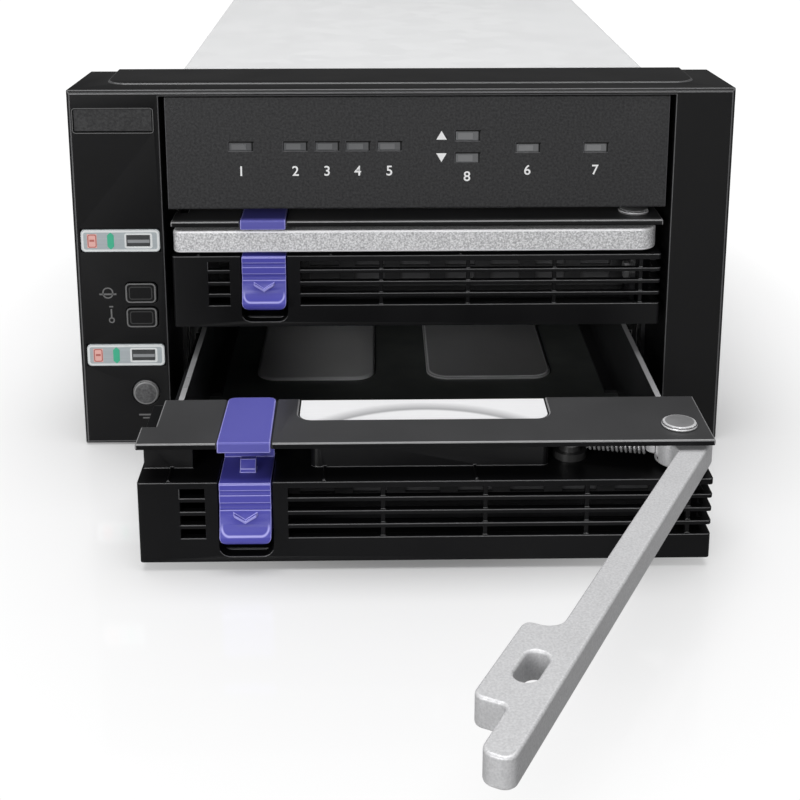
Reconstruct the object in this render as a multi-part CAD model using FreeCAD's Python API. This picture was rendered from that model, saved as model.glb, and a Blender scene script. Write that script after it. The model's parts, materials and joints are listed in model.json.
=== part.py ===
"""Two-bay hot swap drive cage for a pair of stacked 5.25 inch bays.

Frame: +X to the right seen from the front, the front faces -Y, +Z up.
X = 0 is the middle of the tray opening, Y = 0 is the bezel's rear seating plane
and Z = 0 is the plane the cage stands on. The upper tray is shut; the lower one
is drawn out with its lever swung open. All sizes are millimetres.
"""
import FreeCAD, Part
import math
import os

Vec = FreeCAD.Vector

# ---- bezel ---------------------------------------------------------------
BEZEL_WIDTH = 149.0
BEZEL_HEIGHT = 84.7
BEZEL_DEPTH = 25.5
BEZEL_LEFT_SPAN = 78.0          # from the tray centreline to the left edge
BEZEL_FRONT_WALL = 2.2
BEZEL_SIDE_WALL = 2.0
BEZEL_DRAFT = 0.8               # each side comes in this much towards the back
BEZEL_RIM = 0.7                 # chamfer round the front face
BEZEL_TOP_BAR = 1.4
BEZEL_SILL = 1.2
OPENING_WIDTH = 115.2
CHEEK = 1.3                     # walls on both sides of the opening
PLATEAU_INSET = (7.5, 7.5)      # raised field on the top: from the sides, from the front
PLATEAU_HEIGHT = 0.15
PLATEAU_RADIUS = 5.0
BOSS_INSET = (5.7, 7.0)         # fixing bosses, from the left and right edges
BOSS_Z = (8.5, 34.5)
BOSS_SIZE = 6.0
TAPPED_RADIUS = 1.25            # holes that the 3 mm class screws bite into
CLEAR_RADIUS = 1.6              # holes that they pass through
BOSS_HOLE_DEPTH = 9.0

# ---- drives, trays and their spacing -----------------------------------------
DRIVE_WIDTH = 101.6
DRIVE_LENGTH = 147.0
DRIVE_HEIGHT = 26.1
DRIVE_CLEAR = 0.2               # above and below a drive
DRIVE_GAP = 0.3                 # between the drive and the tray's head
TRAY_WIDTH = 112.0
TRAY_HEIGHT = 25.2
HEAD_DEPTH = 21.0
TRAY_SILL_GAP = 0.5             # under the lower tray's front
TRAY_DRAWN = 57.0               # how far the lower tray is pulled out at rest
LEVER_FROM_STOP = 12.0          # the lower lever rests this short of its stop

# ---- sheet metal -------------------------------------------------------------
FLOOR_SHEET = 0.8
SHELF_SHEET = 0.7
SHELF_LIP = 6.0
DECK_SHEET = 1.0
DECK_LIP = 5.4
SHELL_SHEET = 1.0
SHELL_BEND = 1.2
CAGE_HEIGHT = 82.6
SHELL_FIT = 0.3                 # shell inside the bezel's cheeks
SHEET_GAP = 0.2                 # between plates that only pass each other
LIP_SET_BACK = 2.0              # a folded lip starts behind its plate's edge
FOOT_FLANGE = 8.8
FOOT_SET_BACK = 4.0
SIDE_VENT = (14.0, 2.4)
SIDE_VENT_ROWS = 2
SIDE_VENT_COUNT = 6
FLOOR_VENT = (60.0, 3.2)
FLOOR_VENT_PITCH = 9.0
FLOOR_VENT_COUNT = 3
PAD_SPANS = ((-40.8, -9.9), (3.7, 36.4))
PAD_START = 9.5
PAD_HEIGHT = 0.75
PAD_SLOPE = 0.6
PAD_CORNER = 5.5

# ---- tray head ---------------------------------------------------------------
HEAD_SKIN = 1.6
HEAD_FRONT_WALL = 1.8
HEAD_CORNER = 0.7
COVER_THICKNESS = 1.3
LEDGE_DROP = 8.2                # ledge below the tray's top
LEDGE_DEPTH = 6.4
LEDGE_THICKNESS = 1.3
END_BLOCK = (0.5, 10.2)
PAD_POCKET_END = 33.4
PAD_POCKET_CORNER = 1.5
BLOCK_CORNER = 1.5              # front corners of the middle block
RIGHT_POCKET_START = 80.6
RIGHT_POCKET_CORNER = 3.0
POCKET_DEPTH = 17.5
RIDGES_X = (6.0, 36.2, 65.9)
RIDGE = (0.5, 0.25)             # small locating ridges on the ledge: width, height
SLOT_HEIGHT = 2.0
SLOT_PITCH = 2.85
SLOT_ROWS = 4
LEFT_SLOT = (8.2, 13.0)
RIGHT_SLOT_START = 29.2
SLOT_RETURN = 6.0               # the right-hand slots run round the corner
DIVIDERS = (47.2, 67.2, 87.1, 107.0)
DIVIDER_WIDTH = 0.9
DIVIDER_SET_BACK = 0.6
DIVIDER_OVERLAP = 0.3
HEAD_BOSS = (12.5, 19.0, 4.0, 13.0)
COVER_STEP = (2.9, 8.0)         # the cover's left edge steps in
COVER_EDGE = 0.4
COVER_NOTCH_HALF = 25.3
COVER_NOTCH_DEPTH = 10.3
COVER_NOTCH_RADIUS = 3.0

# ---- bent plate behind the head -------------------------------------------------
CROSS_SHEET = 1.0
CROSS_GAP = 0.3                 # round the flange in the cover's notch
SCOOP_RADIUS = 290.0            # finger scoop in the flange
SCOOP_SLOPE = 4.5
SCOOP_SINK = 0.45
CROSS_VENT = (7.2, 1.8)
CROSS_VENT_PITCH = (11.0, 3.6)
CROSS_VENT_GRID = (9, 3)
CROSS_VENT_RISE = 0.7          # lowest row above the web's foot, in pitches

# ---- latch -------------------------------------------------------------------
LATCH_CENTRE = 20.9             # from the tray's left end
LATCH_WIDTH = 10.05
LATCH_HEIGHT = 12.6             # below the ledge
LATCH_TRAVEL = 2.4
LATCH_SLIDE_GAP = 0.25
LATCH_FACE = 0.45               # face stands out from the tray's front
LATCH_GROOVES = ((1.5, 1.0, 0.3), (4.1, 1.5, 0.45))     # drop, height, depth
BELLY_BULGE = 0.4
THUMB_LIP = 1.5                 # lip stands out from the face, at this drop
THUMB_LIP_DROP = 10.6
LATCH_UNDERCUT = 0.5
LATCH_FLANGE = (1.2, 1.6, 11.0)  # thickness, top and bottom below the ledge
LATCH_BACK = 1.2                # wall that stands up behind the lever's pad
LATCH_BACK_WINDOW = (4.2, 2.6)  # width, height
LATCH_BLOCK_HEIGHT = 3.6
LATCH_CORNER = 2.0
WELL_WIDTH = 10.6
WELL_INNER_WIDTH = 13.0
WELL_DEPTH = 12.7
WELL_WALL = 1.2
WELL_LIP = 2.6
WELL_BOTTOM = 15.8              # open face of the well, below the ledge
WELL_CORNER = 2.2
TOOTH = (3.1, 2.6)              # width, depth
CHEVRON = (4.4, 1.4, 0.6)       # width, drop, stroke
CAP_WIDTH = 10.3
CAP_TAPER = 0.25
CAP_THICKNESS = 0.9
CAP_SUNK = 0.5
CAP_APRON_DROP = 0.5            # apron reaches this far below the cover
CAP_OVERHANG = 0.5
CAP_CORNER = 1.6
CAP_EDGE = 0.45

# ---- lever -------------------------------------------------------------------
PIN_FROM_RIGHT = 5.7
PIN_FROM_FRONT = 6.8
PIN_RADIUS = 1.5
PIN_FIT = 0.1
PIN_HEAD_RADIUS = 3.55
PIN_HEAD_HEIGHT = 0.9
PIN_HEAD_BEVEL = 0.4
LEVER_BAR = 5.0                 # bar depth in plan
LEVER_HEIGHT = 5.2
LEVER_TOP_DROP = 2.2            # lever's top below the tray's top
LEVER_FRONT_GAP = 0.2
LEVER_LEFT_GAP = 0.3
LEVER_RIGHT_GAP = 0.9
LEVER_TIP_RADIUS = 2.0
LEVER_HEEL_RADIUS = 4.4
LEVER_BOSS_RADIUS = 4.6
LEVER_PAD = (11.1, 32.0)        # finger pad, from the tray's left end
LEVER_PAD_DEPTH = 10.6
LEVER_PAD_CORNER = 1.6
LEVER_PAD_FLARE = 3.0           # hollow radius on the pivot side
LEVER_PAD_FILLET = 1.2          # hollow radius on the tip side
LEVER_EYE = (8.0, 3.8)          # obround hole for the latch tooth
LEVER_EYE_SET = (0.25, 5.35)    # from the latch's centre, from the lever's front
LEVER_MAX_ANGLE = 75.0
NOSE_RADIUS = 1.9
NOSE_HEIGHT = 3.4
NOSE_ARM = 4.6
NOSE_ANGLE = 110.0              # closed, from +X about the pin

# ---- springs and their post -----------------------------------------------------
POST_RADIUS = 3.4
POST_PLACE = (85.3, 10.9)
POST_FLANGE = 1.5
POST_NECK = 1.2                 # the neck is this much slimmer
COIL_RADIUS = 1.5
COIL_WIRE = 0.6
COIL_GAP = 0.3
LATCH_COIL_RADIUS = 1.6

# ---- tray frame and guides ----------------------------------------------------
RAIL_SHEET = 1.2
RAIL_FIT = 0.3                  # rail beside the drive
RAIL_TOP = 19.5
RAIL_BOTTOM = 0.6
RAIL_START = 12.0
RAIL_SHORT = 3.0                # rail ends before the drive's rear face
RAIL_CORNERS = (6.0, 4.0)       # bottom and top rear corners cut off
RUNNER_HEIGHT = 3.0
RUNNER_BOTTOM = 12.5
RUNNER_WIDTH = 2.1
RUNNER_ENDS = (3.0, 2.0)
GUIDE_GAP = 0.3
GUIDE_LEDGE = 2.2
GUIDE_UNDERCUT = 0.8
GUIDE_START = 0.5
SIDE_HOLE_HEIGHT = 6.35         # drive side holes above the drive's bottom
SIDE_HOLES_FROM_REAR = (28.5, 130.1)
SIDE_HOLE_RADIUS = 1.8
FRAME_SCREW = (15.0, 8.4)

# ---- indicator panel -----------------------------------------------------------
PANEL_GAP = 1.2
PANEL_WALL = 2.0
PANEL_SHELF = 1.2
PANEL_SET_BACK = 0.5
PANEL_EDGE = 0.5
PANEL_ABOVE_DECK = 0.5
PANEL_TOP_GAP = 0.2
LED_SIZE = (5.2, 2.05)
LED_DEPTH = 5.0
LED_SUNK = 0.15
LED_FIT = 0.08
FAULT_LED_SIZE = (5.3, 2.3)
LED_RISE = (0.562, 0.542)       # row of five and the two on the right, share of the panel's height
LEDS = ((-39.7, 0), (-27.5, 0), (-20.4, 0), (-13.5, 0), (-6.4, 0), (24.7, 1), (40.0, 1))
FAULT_LEDS = ((11.1, 0.65), (11.1, 0.454))

# ---- controls in the left column ------------------------------------------------
BADGE = (1.4, 17.5, 4.1, 5.3)   # from the left edge, width, below the top, height
BADGE_POCKET = 0.7
BADGE_THICKNESS = 0.5
STRIP = (1.6, 18.0)             # from the left edge, width
STRIP_HEIGHT = 5.4
STRIP_THICKNESS = 0.9
STRIP_SUNK = 0.6
STRIP_RISE = (20.7, 20.95)      # lower and upper, above their trays' bottoms
STRIP_LENS = (10.3, 5.4)        # from the strip's left end, width
STRIP_LENS_HEIGHT = 2.7
FIT = 0.1
BUTTON = (11.3, 7.0)            # from the left edge, width
BUTTON_HEIGHT = 4.8
BUTTON_CORNER = 1.0
BUTTON_CENTRES = (37.5, 31.55)
BUTTON_FIT = 0.15
BUTTON_PROUD = 0.2
BUTTON_TRAVEL = 0.8
FLANGE = (0.8, 0.8)             # a button's flange behind the wall: margin, thickness
FLANGE_GAP = 0.3
STEM_RADIUS = 1.2
ROUND_BUTTON = (14.8, 13.0)     # from the left edge, height
ROUND_BUTTON_RADIUS = 3.05
ROUND_BUTTON_PROUD = 0.6
ROUND_BUTTON_BEVEL = 0.4
BOARD_THICKNESS = 1.6
FRONT_BOARD_SET = 7.3           # board's face behind the column's front wall
FRONT_BOARD_WIDTH = 8.2
FRONT_BOARD_Z = (9.5, 55.0)
SWITCH_SIZE = 4.4
SWITCH_HEIGHT = 2.5
PLUNGER = (2.0, 0.8)
LED_CHIP = (3.2, 1.6, 1.0)
BOARD_POSTS_Z = (43.8, 27.2)
BOARD_POST_RADIUS = 1.7
BOARD_PIN_RADIUS = 0.8

# ---- side brackets --------------------------------------------------------------
BAY_WIDTH = 146.0
BRACKET_SHEET = 1.2
BRACKET_FOOT = 3.0
BRACKET_TOP = 39.2
BRACKET_LENGTH = 150.0
BRACKET_START = 12.0            # inner web and roof start behind the bezel
BRACKET_BEND = 1.0
BAY_HOLES_Y = (47.4, 126.64)
BAY_HOLES_Z = (10.0, 21.84)
BAY_HOLE_RADIUS = 1.5
BRACKET_SCREWS = ((24.0, 24.0), (10.0, 7.0))    # front one: y, z; rear one: from the end, z
ACCESS_RADIUS = 3.2
BRACKET_SLOT = (20.0, 6.0)
BRACKET_SLOTS = 3

# ---- screws ----------------------------------------------------------------------
HEX_HEAD = (2.9, 1.6)           # across the corners (half), height
SHANK_RADIUS = 1.2
FAN_SHANK_RADIUS = 1.7
FRAME_HEX_HEAD = (2.2, 1.1)
FRAME_SHANK_RADIUS = 0.85
SCREW_BITE = 2.0                # how far a screw goes past the sheets it holds

# ---- rear compartment -----------------------------------------------------------
SOCKET_DEPTH = 7.9
SOCKET_GAP = 0.5
SOCKET_SPAN = (-36.0, 6.0)
SOCKET_RISE = 4.4
SOCKET_HEIGHT = 5.2
SOCKET_MOUTHS = ((-34.0, -18.5), (-16.5, 4.0))
SOCKET_MOUTH = (5.5, 2.4)       # depth, height
BACKPLANE_WINDOWS = ((-48.0, -6.0), (12.0, 48.0))
WINDOW_RISE = (11.0, 21.0)
CABLE_ROOM = 9.7                # between the backplane and the fan
FAN_SIZE = 50.0
FAN_DEPTH = 15.0
FAN_CORNER = 3.0
FAN_BORE_RADIUS = 23.6
FAN_HUB_RADIUS = 9.0
FAN_BLADES = 7
FAN_TIP_GAP = 0.6
FAN_HOLE_SPACING = 40.0
FAN_HOLE_RADIUS = 2.1
FAN_STRUT = (2.8, 2.5)
FAN_AXLE_RADIUS = 1.5
BLADE_THICKNESS = 0.8
BLADE_SWEEP = 8.0
GRILLE_RINGS = (13.0, 22.5)
GRILLE_SLOT = 5.0
GRILLE_SPOKE = 2.0
REAR_SHEET = 1.0
CONTROL_MARGINS = (4.8, 16.0, 3.0)      # board edge to the side, front and rear
STANDOFF_PLACES = (46.0, 26.0, 17.5)    # from the middle, from the front, from the rear
STANDOFF_HEIGHT = 2.6
STANDOFF_RADIUS = 2.9
PORT_RISE = 9.9                 # ports' centreline above the deck
HOST_PORT = (-22.0, 16.0, 6.0, 12.0, 13.0)      # x, width, height, depth, mouth
POWER_PORT = (26.0, 24.6, 8.6, 14.0, 21.0)
PORT_MOUTH = 2.8
PORT_BACK = 3.0
PORT_PROUD = 0.3
PORT_FIT = 0.2
DIP_SWITCH = (2.0, 11.6, 4.6, 8.0)      # x, width, height, depth
DIP_PITCH = 2.5
DIP_SLOT = (1.5, 3.2, 0.6)
CHIP = (18.0, 1.8)
SMALL_CHIP = (10.0, 1.2)
CRYSTAL = (10.0, 5.0, 1.4)
BUZZER = (6.0, 7.5)
CAPACITOR = (3.2, 8.0)
HEADER = (8.0, 3.5, 3.0)

# ---- places worked out from the sizes above ---------------------------------------
FRONT = -BEZEL_DEPTH
BEZEL_X0 = -BEZEL_LEFT_SPAN
BEZEL_X1 = BEZEL_WIDTH - BEZEL_LEFT_SPAN
HALF_OPENING = OPENING_WIDTH / 2
SHELL_HALF = HALF_OPENING - SHELL_FIT
BAY_HALF = SHELL_HALF - SHELL_SHEET
SHELL_FRONT = FRONT + HEAD_DEPTH + 0.5
LOWER_Z = BEZEL_SILL + TRAY_SILL_GAP
SHELF_Z = LOWER_Z + DRIVE_HEIGHT + 2 * DRIVE_CLEAR
UPPER_Z = SHELF_Z + SHELF_SHEET + DRIVE_CLEAR
DECK_Z = UPPER_Z + DRIVE_HEIGHT + 2 * DRIVE_CLEAR
DECK_TOP = DECK_Z + DECK_SHEET
PANEL_Z0 = DECK_TOP + PANEL_ABOVE_DECK
PANEL_Z1 = BEZEL_HEIGHT - BEZEL_TOP_BAR - PANEL_TOP_GAP
DRIVE_FRONT = FRONT + HEAD_DEPTH + DRIVE_GAP
DRIVE_REAR = DRIVE_FRONT + DRIVE_LENGTH
BACKPLANE_Y = DRIVE_REAR + SOCKET_GAP + SOCKET_DEPTH
FAN_Y0 = BACKPLANE_Y + BOARD_THICKNESS + CABLE_ROOM
REAR_INNER = FAN_Y0 + FAN_DEPTH
CAGE_LENGTH = REAR_INNER + REAR_SHEET
BODY_TOP = TRAY_HEIGHT - COVER_THICKNESS
LEDGE = TRAY_HEIGHT - LEDGE_DROP
UNDER_LEDGE = LEDGE - LEDGE_THICKNESS
LEVER_TOP = TRAY_HEIGHT - LEVER_TOP_DROP
LEVER_BOTTOM = LEVER_TOP - LEVER_HEIGHT
LEVER_OPEN_ANGLE = LEVER_MAX_ANGLE - LEVER_FROM_STOP
PIN_X = TRAY_WIDTH - PIN_FROM_RIGHT
TRAY_CENTRE = TRAY_WIDTH / 2
RAIL_INNER = DRIVE_WIDTH / 2 + RAIL_FIT
RAIL_OUTER = RAIL_INNER + RAIL_SHEET
FRAME_X0 = TRAY_CENTRE - RAIL_OUTER
FRAME_X1 = TRAY_CENTRE + RAIL_OUTER
COLUMN_INNER = FRONT + BEZEL_FRONT_WALL
FRONT_BOARD_Y = COLUMN_INNER + FRONT_BOARD_SET
BOSS_X = (BEZEL_X0 + BOSS_INSET[0], BEZEL_X1 - BOSS_INSET[1])
STRIP_X0 = BEZEL_X0 + STRIP[0]
STRIP_X1 = STRIP_X0 + STRIP[1]
LENS_X0 = STRIP_X0 + STRIP_LENS[0]
LENS_X1 = LENS_X0 + STRIP_LENS[1]
STRIP_CENTRES = (LOWER_Z + STRIP_RISE[0], UPPER_Z + STRIP_RISE[1])
BUTTON_X0 = BEZEL_X0 + BUTTON[0]
BUTTON_X1 = BUTTON_X0 + BUTTON[1]
BUTTON_X = (BUTTON_X0 + BUTTON_X1) / 2
ROUND_X = BEZEL_X0 + ROUND_BUTTON[0]
ROUND_Z = ROUND_BUTTON[1]
FAN_Z = (LOWER_Z + DECK_Z) / 2
CONTROL_Z = DECK_TOP + STANDOFF_HEIGHT
CONTROL_TOP = CONTROL_Z + BOARD_THICKNESS
PORT_Z = DECK_TOP + PORT_RISE
WELL_X0 = LATCH_CENTRE - WELL_INNER_WIDTH / 2
WELL_X1 = LATCH_CENTRE + WELL_INNER_WIDTH / 2
THROUGH = 1.0                   # cutting tools start and end this far outside
SINK = 0.1                      # joined shapes overlap by this much
NEAR = 0.01                     # edges this close to a plane lie in it


# ---- small shape helpers -------------------------------------------------------
def box(x0, x1, y0, y1, z0, z1):
    return Part.makeBox(x1 - x0, y1 - y0, z1 - z0, Vec(x0, y0, z0))


def rod(centre, radius, length, axis=(0, 0, 1)):
    return Part.makeCylinder(radius, length, Vec(*centre), Vec(*axis))


def fuse(shapes):
    shapes = list(shapes)
    if len(shapes) == 1:
        return shapes[0]
    return shapes[0].multiFuse(shapes[1:]).removeSplitter()


def cut(shape, tools):
    return shape.cut(Part.makeCompound(list(tools)))


def slab(outline, thickness, axis="Z", at=0.0):
    """A flat outline pushed along an axis. A step is a point to go to in a straight
    line, or a pair of points: the first on an arc and the second at its end."""
    def place(a, b):
        return {"X": Vec(at, a, b), "Y": Vec(a, at, b), "Z": Vec(a, b, at)}[axis]

    here = outline[0]
    edges = []
    for step in list(outline[1:]) + [outline[0]]:
        if isinstance(step[0], tuple):
            through, end = step
            edges.append(Part.Arc(place(*here), place(*through), place(*end)).toShape())
        else:
            end = step
            if math.dist(here, end) > NEAR:
                edges.append(Part.LineSegment(place(*here), place(*end)).toShape())
        here = end
    push = {"X": Vec(thickness, 0, 0), "Y": Vec(0, thickness, 0), "Z": Vec(0, 0, thickness)}[axis]
    return Part.Face(Part.Wire(edges)).extrude(push)


def corner_arc(centre, radius, start_angle, end_angle):
    """Middle and end of an arc about a centre, as one step of a slab's outline."""
    points = []
    for angle in ((start_angle + end_angle) / 2, end_angle):
        turn = math.radians(angle)
        points.append((centre[0] + radius * math.cos(turn), centre[1] + radius * math.sin(turn)))
    return tuple(points)


def edges_along(shape, axis, test=None):
    """Straight edges that run along an axis and pass a test on their middle."""
    found = []
    for edge in shape.Edges:
        if edge.Curve.TypeId != "Part::GeomLine":
            continue
        way = edge.tangentAt(edge.FirstParameter)
        if abs(way.dot(Vec(*axis))) < 0.999:
            continue
        if test is None or test(edge.CenterOfMass):
            found.append(edge)
    return found


def rounded(shape, radius, axis, test=None):
    return shape.makeFillet(radius, edges_along(shape, axis, test))


def obround(centre, length, width, depth):
    """A slot-shaped solid along X, pushed up Z."""
    x, y, z = centre
    reach = (length - width) / 2
    half = width / 2
    outline = [(x - reach, y - half), (x + reach, y - half), corner_arc((x + reach, y), half, -90, 90),
               (x - reach, y + half), corner_arc((x - reach, y), half, 90, 270)]
    return slab(outline, depth, "Z", z)


def hex_screw(at, axis, head, shank_radius, shank_length):
    """Hexagon head on the seat at `at`, shank going the way of axis."""
    way = Vec(*axis)
    seat = Vec(*at)
    radius, height = head
    corners = []
    for k in range(7):
        turn = math.radians(60 * k + 30)
        corners.append(Vec(radius * math.cos(turn), radius * math.sin(turn), 0))
    hexagon = Part.Face(Part.makePolygon(corners)).extrude(Vec(0, 0, height))
    hexagon.Placement = FreeCAD.Placement(seat - way * height, FreeCAD.Rotation(Vec(0, 0, 1), way))
    return fuse([hexagon, Part.makeCylinder(shank_radius, shank_length, seat, way)])


def save(name, *solids):
    shape = solids[0] if len(solids) == 1 else Part.makeCompound(list(solids))
    shape.exportStep("parts/%s.step" % name)
    print("%-24s %2d solids  %9.1f mm3" % (name, len(shape.Solids), shape.Volume))


# ---- bezel -----------------------------------------------------------------------
def outline_at(y, inset):
    x0, x1 = BEZEL_X0 + inset, BEZEL_X1 - inset
    z1 = BEZEL_HEIGHT - inset / 2
    return Part.makePolygon([Vec(x0, y, 0), Vec(x1, y, 0), Vec(x1, y, z1), Vec(x0, y, z1), Vec(x0, y, 0)])


def make_bezel():
    shell = Part.makeLoft([outline_at(FRONT, 0), outline_at(0, BEZEL_DRAFT)], True, True)
    rim = [e for e in shell.Edges if abs(e.CenterOfMass.y - FRONT) < NEAR]
    shell = shell.makeChamfer(BEZEL_RIM, rim)
    from_side, from_front = PLATEAU_INSET
    plateau = box(BEZEL_X0 + from_side, BEZEL_X1 - from_side, FRONT + from_front, 0,
                  BEZEL_HEIGHT - BEZEL_DRAFT, BEZEL_HEIGHT + PLATEAU_HEIGHT)
    plateau = rounded(plateau, PLATEAU_RADIUS, (0, 0, 1), lambda c: c.y < -THROUGH)
    shell = fuse([shell, plateau])
    inside = BEZEL_SIDE_WALL + BEZEL_DRAFT
    top_inside = BEZEL_HEIGHT - BEZEL_TOP_BAR
    wall = HALF_OPENING + CHEEK
    z0, z1 = BEZEL_SILL + BEZEL_DRAFT, top_inside - BEZEL_DRAFT
    hollows = [box(BEZEL_X0 + inside, -wall, COLUMN_INNER, THROUGH, z0, z1),
               box(wall, BEZEL_X1 - inside, COLUMN_INNER, THROUGH, z0, z1),
               box(-HALF_OPENING, HALF_OPENING, FRONT - THROUGH, THROUGH, BEZEL_SILL, top_inside),
               box(-HALF_OPENING, HALF_OPENING, SHELL_FRONT - SHEET_GAP, THROUGH, -THROUGH, BEZEL_SILL + SINK)]
    shell = cut(shell, hollows)
    bosses = []
    holes = []
    reach = BOSS_SIZE / 2
    for x in BOSS_X:
        for z in BOSS_Z:
            bosses.append(box(x - reach, x + reach, COLUMN_INNER - SINK, 0, z - reach, z + reach))
            holes.append(rod((x, -BOSS_HOLE_DEPTH, z), TAPPED_RADIUS, BOSS_HOLE_DEPTH + THROUGH, (0, 1, 0)))
    for z in BOARD_POSTS_Z:
        bosses.append(rod((BUTTON_X, COLUMN_INNER - SINK, z), BOARD_POST_RADIUS, FRONT_BOARD_SET + SINK,
                          (0, 1, 0)))
        holes.append(rod((BUTTON_X, COLUMN_INNER + BOARD_POST_RADIUS, z), BOARD_PIN_RADIUS, FRONT_BOARD_SET,
                         (0, 1, 0)))
    shell = fuse([shell] + bosses)
    from_left, width, below_top, height = BADGE
    holes.append(box(BEZEL_X0 + from_left, BEZEL_X0 + from_left + width, FRONT - THROUGH, FRONT + BADGE_POCKET,
                     BEZEL_HEIGHT - below_top - height, BEZEL_HEIGHT - below_top))
    for z in STRIP_CENTRES:
        half = STRIP_HEIGHT / 2
        holes.append(box(STRIP_X0, STRIP_X1, FRONT - THROUGH, FRONT + STRIP_SUNK, z - half, z + half))
        half = STRIP_LENS_HEIGHT / 2
        holes.append(box(LENS_X0, LENS_X1, FRONT - THROUGH, COLUMN_INNER + THROUGH, z - half, z + half))
    for z in BUTTON_CENTRES:
        holes.append(button_block(z, BUTTON_FIT, FRONT - THROUGH, COLUMN_INNER + THROUGH))
    holes.append(rod((ROUND_X, FRONT - THROUGH, ROUND_Z), ROUND_BUTTON_RADIUS + BUTTON_FIT,
                     BEZEL_FRONT_WALL + 2 * THROUGH, (0, 1, 0)))
    return cut(shell, holes)


def make_badge_plate():
    from_left, width, below_top, height = BADGE
    x0 = BEZEL_X0 + from_left + FIT
    z1 = BEZEL_HEIGHT - below_top - FIT
    return box(x0, x0 + width - 2 * FIT, FRONT + BADGE_POCKET - BADGE_THICKNESS, FRONT + BADGE_POCKET,
               z1 - height + 2 * FIT, z1)


def make_status_strip(z):
    half = STRIP_HEIGHT / 2 - FIT
    front = FRONT + STRIP_SUNK - STRIP_THICKNESS
    strip = box(STRIP_X0 + FIT, STRIP_X1 - FIT, front, FRONT + STRIP_SUNK, z - half, z + half)
    strip = rounded(strip, STRIP_THICKNESS, (0, 1, 0))
    half = STRIP_LENS_HEIGHT / 2
    window = box(LENS_X0, LENS_X1, front - THROUGH, FRONT + THROUGH, z - half, z + half)
    return strip.cut(window)


def make_status_lens(z):
    front = FRONT + STRIP_SUNK - STRIP_THICKNESS + FIT
    half = STRIP_LENS_HEIGHT / 2 - FIT
    rear = FRONT_BOARD_Y - LED_CHIP[2] - LED_SUNK
    return box(LENS_X0 + FIT, LENS_X1 - FIT, front, rear, z - half, z + half)


def button_block(z, grow, y0, y1):
    half = BUTTON_HEIGHT / 2 + grow
    block = box(BUTTON_X0 - grow, BUTTON_X1 + grow, y0, y1, z - half, z + half)
    return rounded(block, BUTTON_CORNER + grow, (0, 1, 0))


def button_stem(x, z):
    """Stem from a button's flange to a travel short of its switch."""
    start = COLUMN_INNER + FLANGE_GAP + FLANGE[1] - SINK
    end = FRONT_BOARD_Y - SWITCH_HEIGHT - PLUNGER[1] - BUTTON_TRAVEL - FIT
    return rod((x, start, z), STEM_RADIUS, end - start, (0, 1, 0))


def make_rect_button(z):
    margin, thickness = FLANGE
    y1 = COLUMN_INNER + FLANGE_GAP
    half = BUTTON_HEIGHT / 2
    cap = button_block(z, 0, FRONT - BUTTON_PROUD, y1 + SINK)
    flange = box(BUTTON_X0 - margin, BUTTON_X1 + margin / 2, y1, y1 + thickness, z - half, z + half)
    return fuse([cap, flange, button_stem(BUTTON_X, z)])


def make_round_button():
    margin, thickness = FLANGE
    front = FRONT - ROUND_BUTTON_PROUD
    y1 = COLUMN_INNER + FLANGE_GAP
    cap = rod((ROUND_X, front, ROUND_Z), ROUND_BUTTON_RADIUS, y1 + SINK - front, (0, 1, 0))
    rim = [e for e in cap.Edges if abs(e.CenterOfMass.y - front) < NEAR]
    cap = cap.makeChamfer(ROUND_BUTTON_BEVEL, rim)
    flange = rod((ROUND_X, y1, ROUND_Z), ROUND_BUTTON_RADIUS + margin, thickness, (0, 1, 0))
    return fuse([cap, flange, button_stem(ROUND_X, ROUND_Z)])


def make_front_board():
    y = FRONT_BOARD_Y
    x0 = BUTTON_X - FRONT_BOARD_WIDTH / 2
    board = box(x0, x0 + FRONT_BOARD_WIDTH, y, y + BOARD_THICKNESS, *FRONT_BOARD_Z)
    holes = [rod((BUTTON_X, y - THROUGH, z), BOARD_PIN_RADIUS + FIT, BOARD_THICKNESS + 2 * THROUGH, (0, 1, 0))
             for z in BOARD_POSTS_Z]
    parts = [cut(board, holes)]
    half = SWITCH_SIZE / 2
    across, proud = PLUNGER
    for x, z in [(BUTTON_X, c) for c in BUTTON_CENTRES] + [(ROUND_X, ROUND_Z)]:
        body = box(x - half, x + half, y - SWITCH_HEIGHT, y, z - half, z + half)
        plunger = box(x - across / 2, x + across / 2, y - SWITCH_HEIGHT - proud, y - SWITCH_HEIGHT + SINK,
                      z - across / 2, z + across / 2)
        parts.append(fuse([body, plunger]))
    width, height, depth = LED_CHIP
    x = (LENS_X0 + LENS_X1) / 2
    for z in STRIP_CENTRES:
        parts.append(box(x - width / 2, x + width / 2, y - depth, y, z - height / 2, z + height / 2))
    return parts


# ---- indicator panel ---------------------------------------------------------------
def led_windows(grow, y0, y1):
    tall = PANEL_Z1 - PANEL_Z0
    places = [(x, PANEL_Z0 + tall * LED_RISE[row], LED_SIZE) for x, row in LEDS]
    places += [(x, PANEL_Z0 + tall * rise, FAULT_LED_SIZE) for x, rise in FAULT_LEDS]
    shapes = []
    for x, z, (width, height) in places:
        half_w, half_h = width / 2 + grow, height / 2 + grow
        shapes.append(box(x - half_w, x + half_w, y0, y1, z - half_h, z + half_h))
    return shapes


def make_indicator_panel():
    half = HALF_OPENING - PANEL_GAP
    front = FRONT + PANEL_SET_BACK
    rear = SHELL_FRONT
    body = box(-half, half, front, rear, PANEL_Z0, PANEL_Z1)
    body = rounded(body, PANEL_EDGE, (1, 0, 0), lambda c: abs(c.y - front) < NEAR)
    inner = half - PANEL_WALL
    hollow = box(-inner, inner, front + PANEL_WALL, rear + THROUGH, PANEL_Z0 + PANEL_SHELF, PANEL_Z1 - PANEL_SHELF)
    return cut(body, [hollow] + led_windows(0, front - THROUGH, front + PANEL_WALL + THROUGH))


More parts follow.
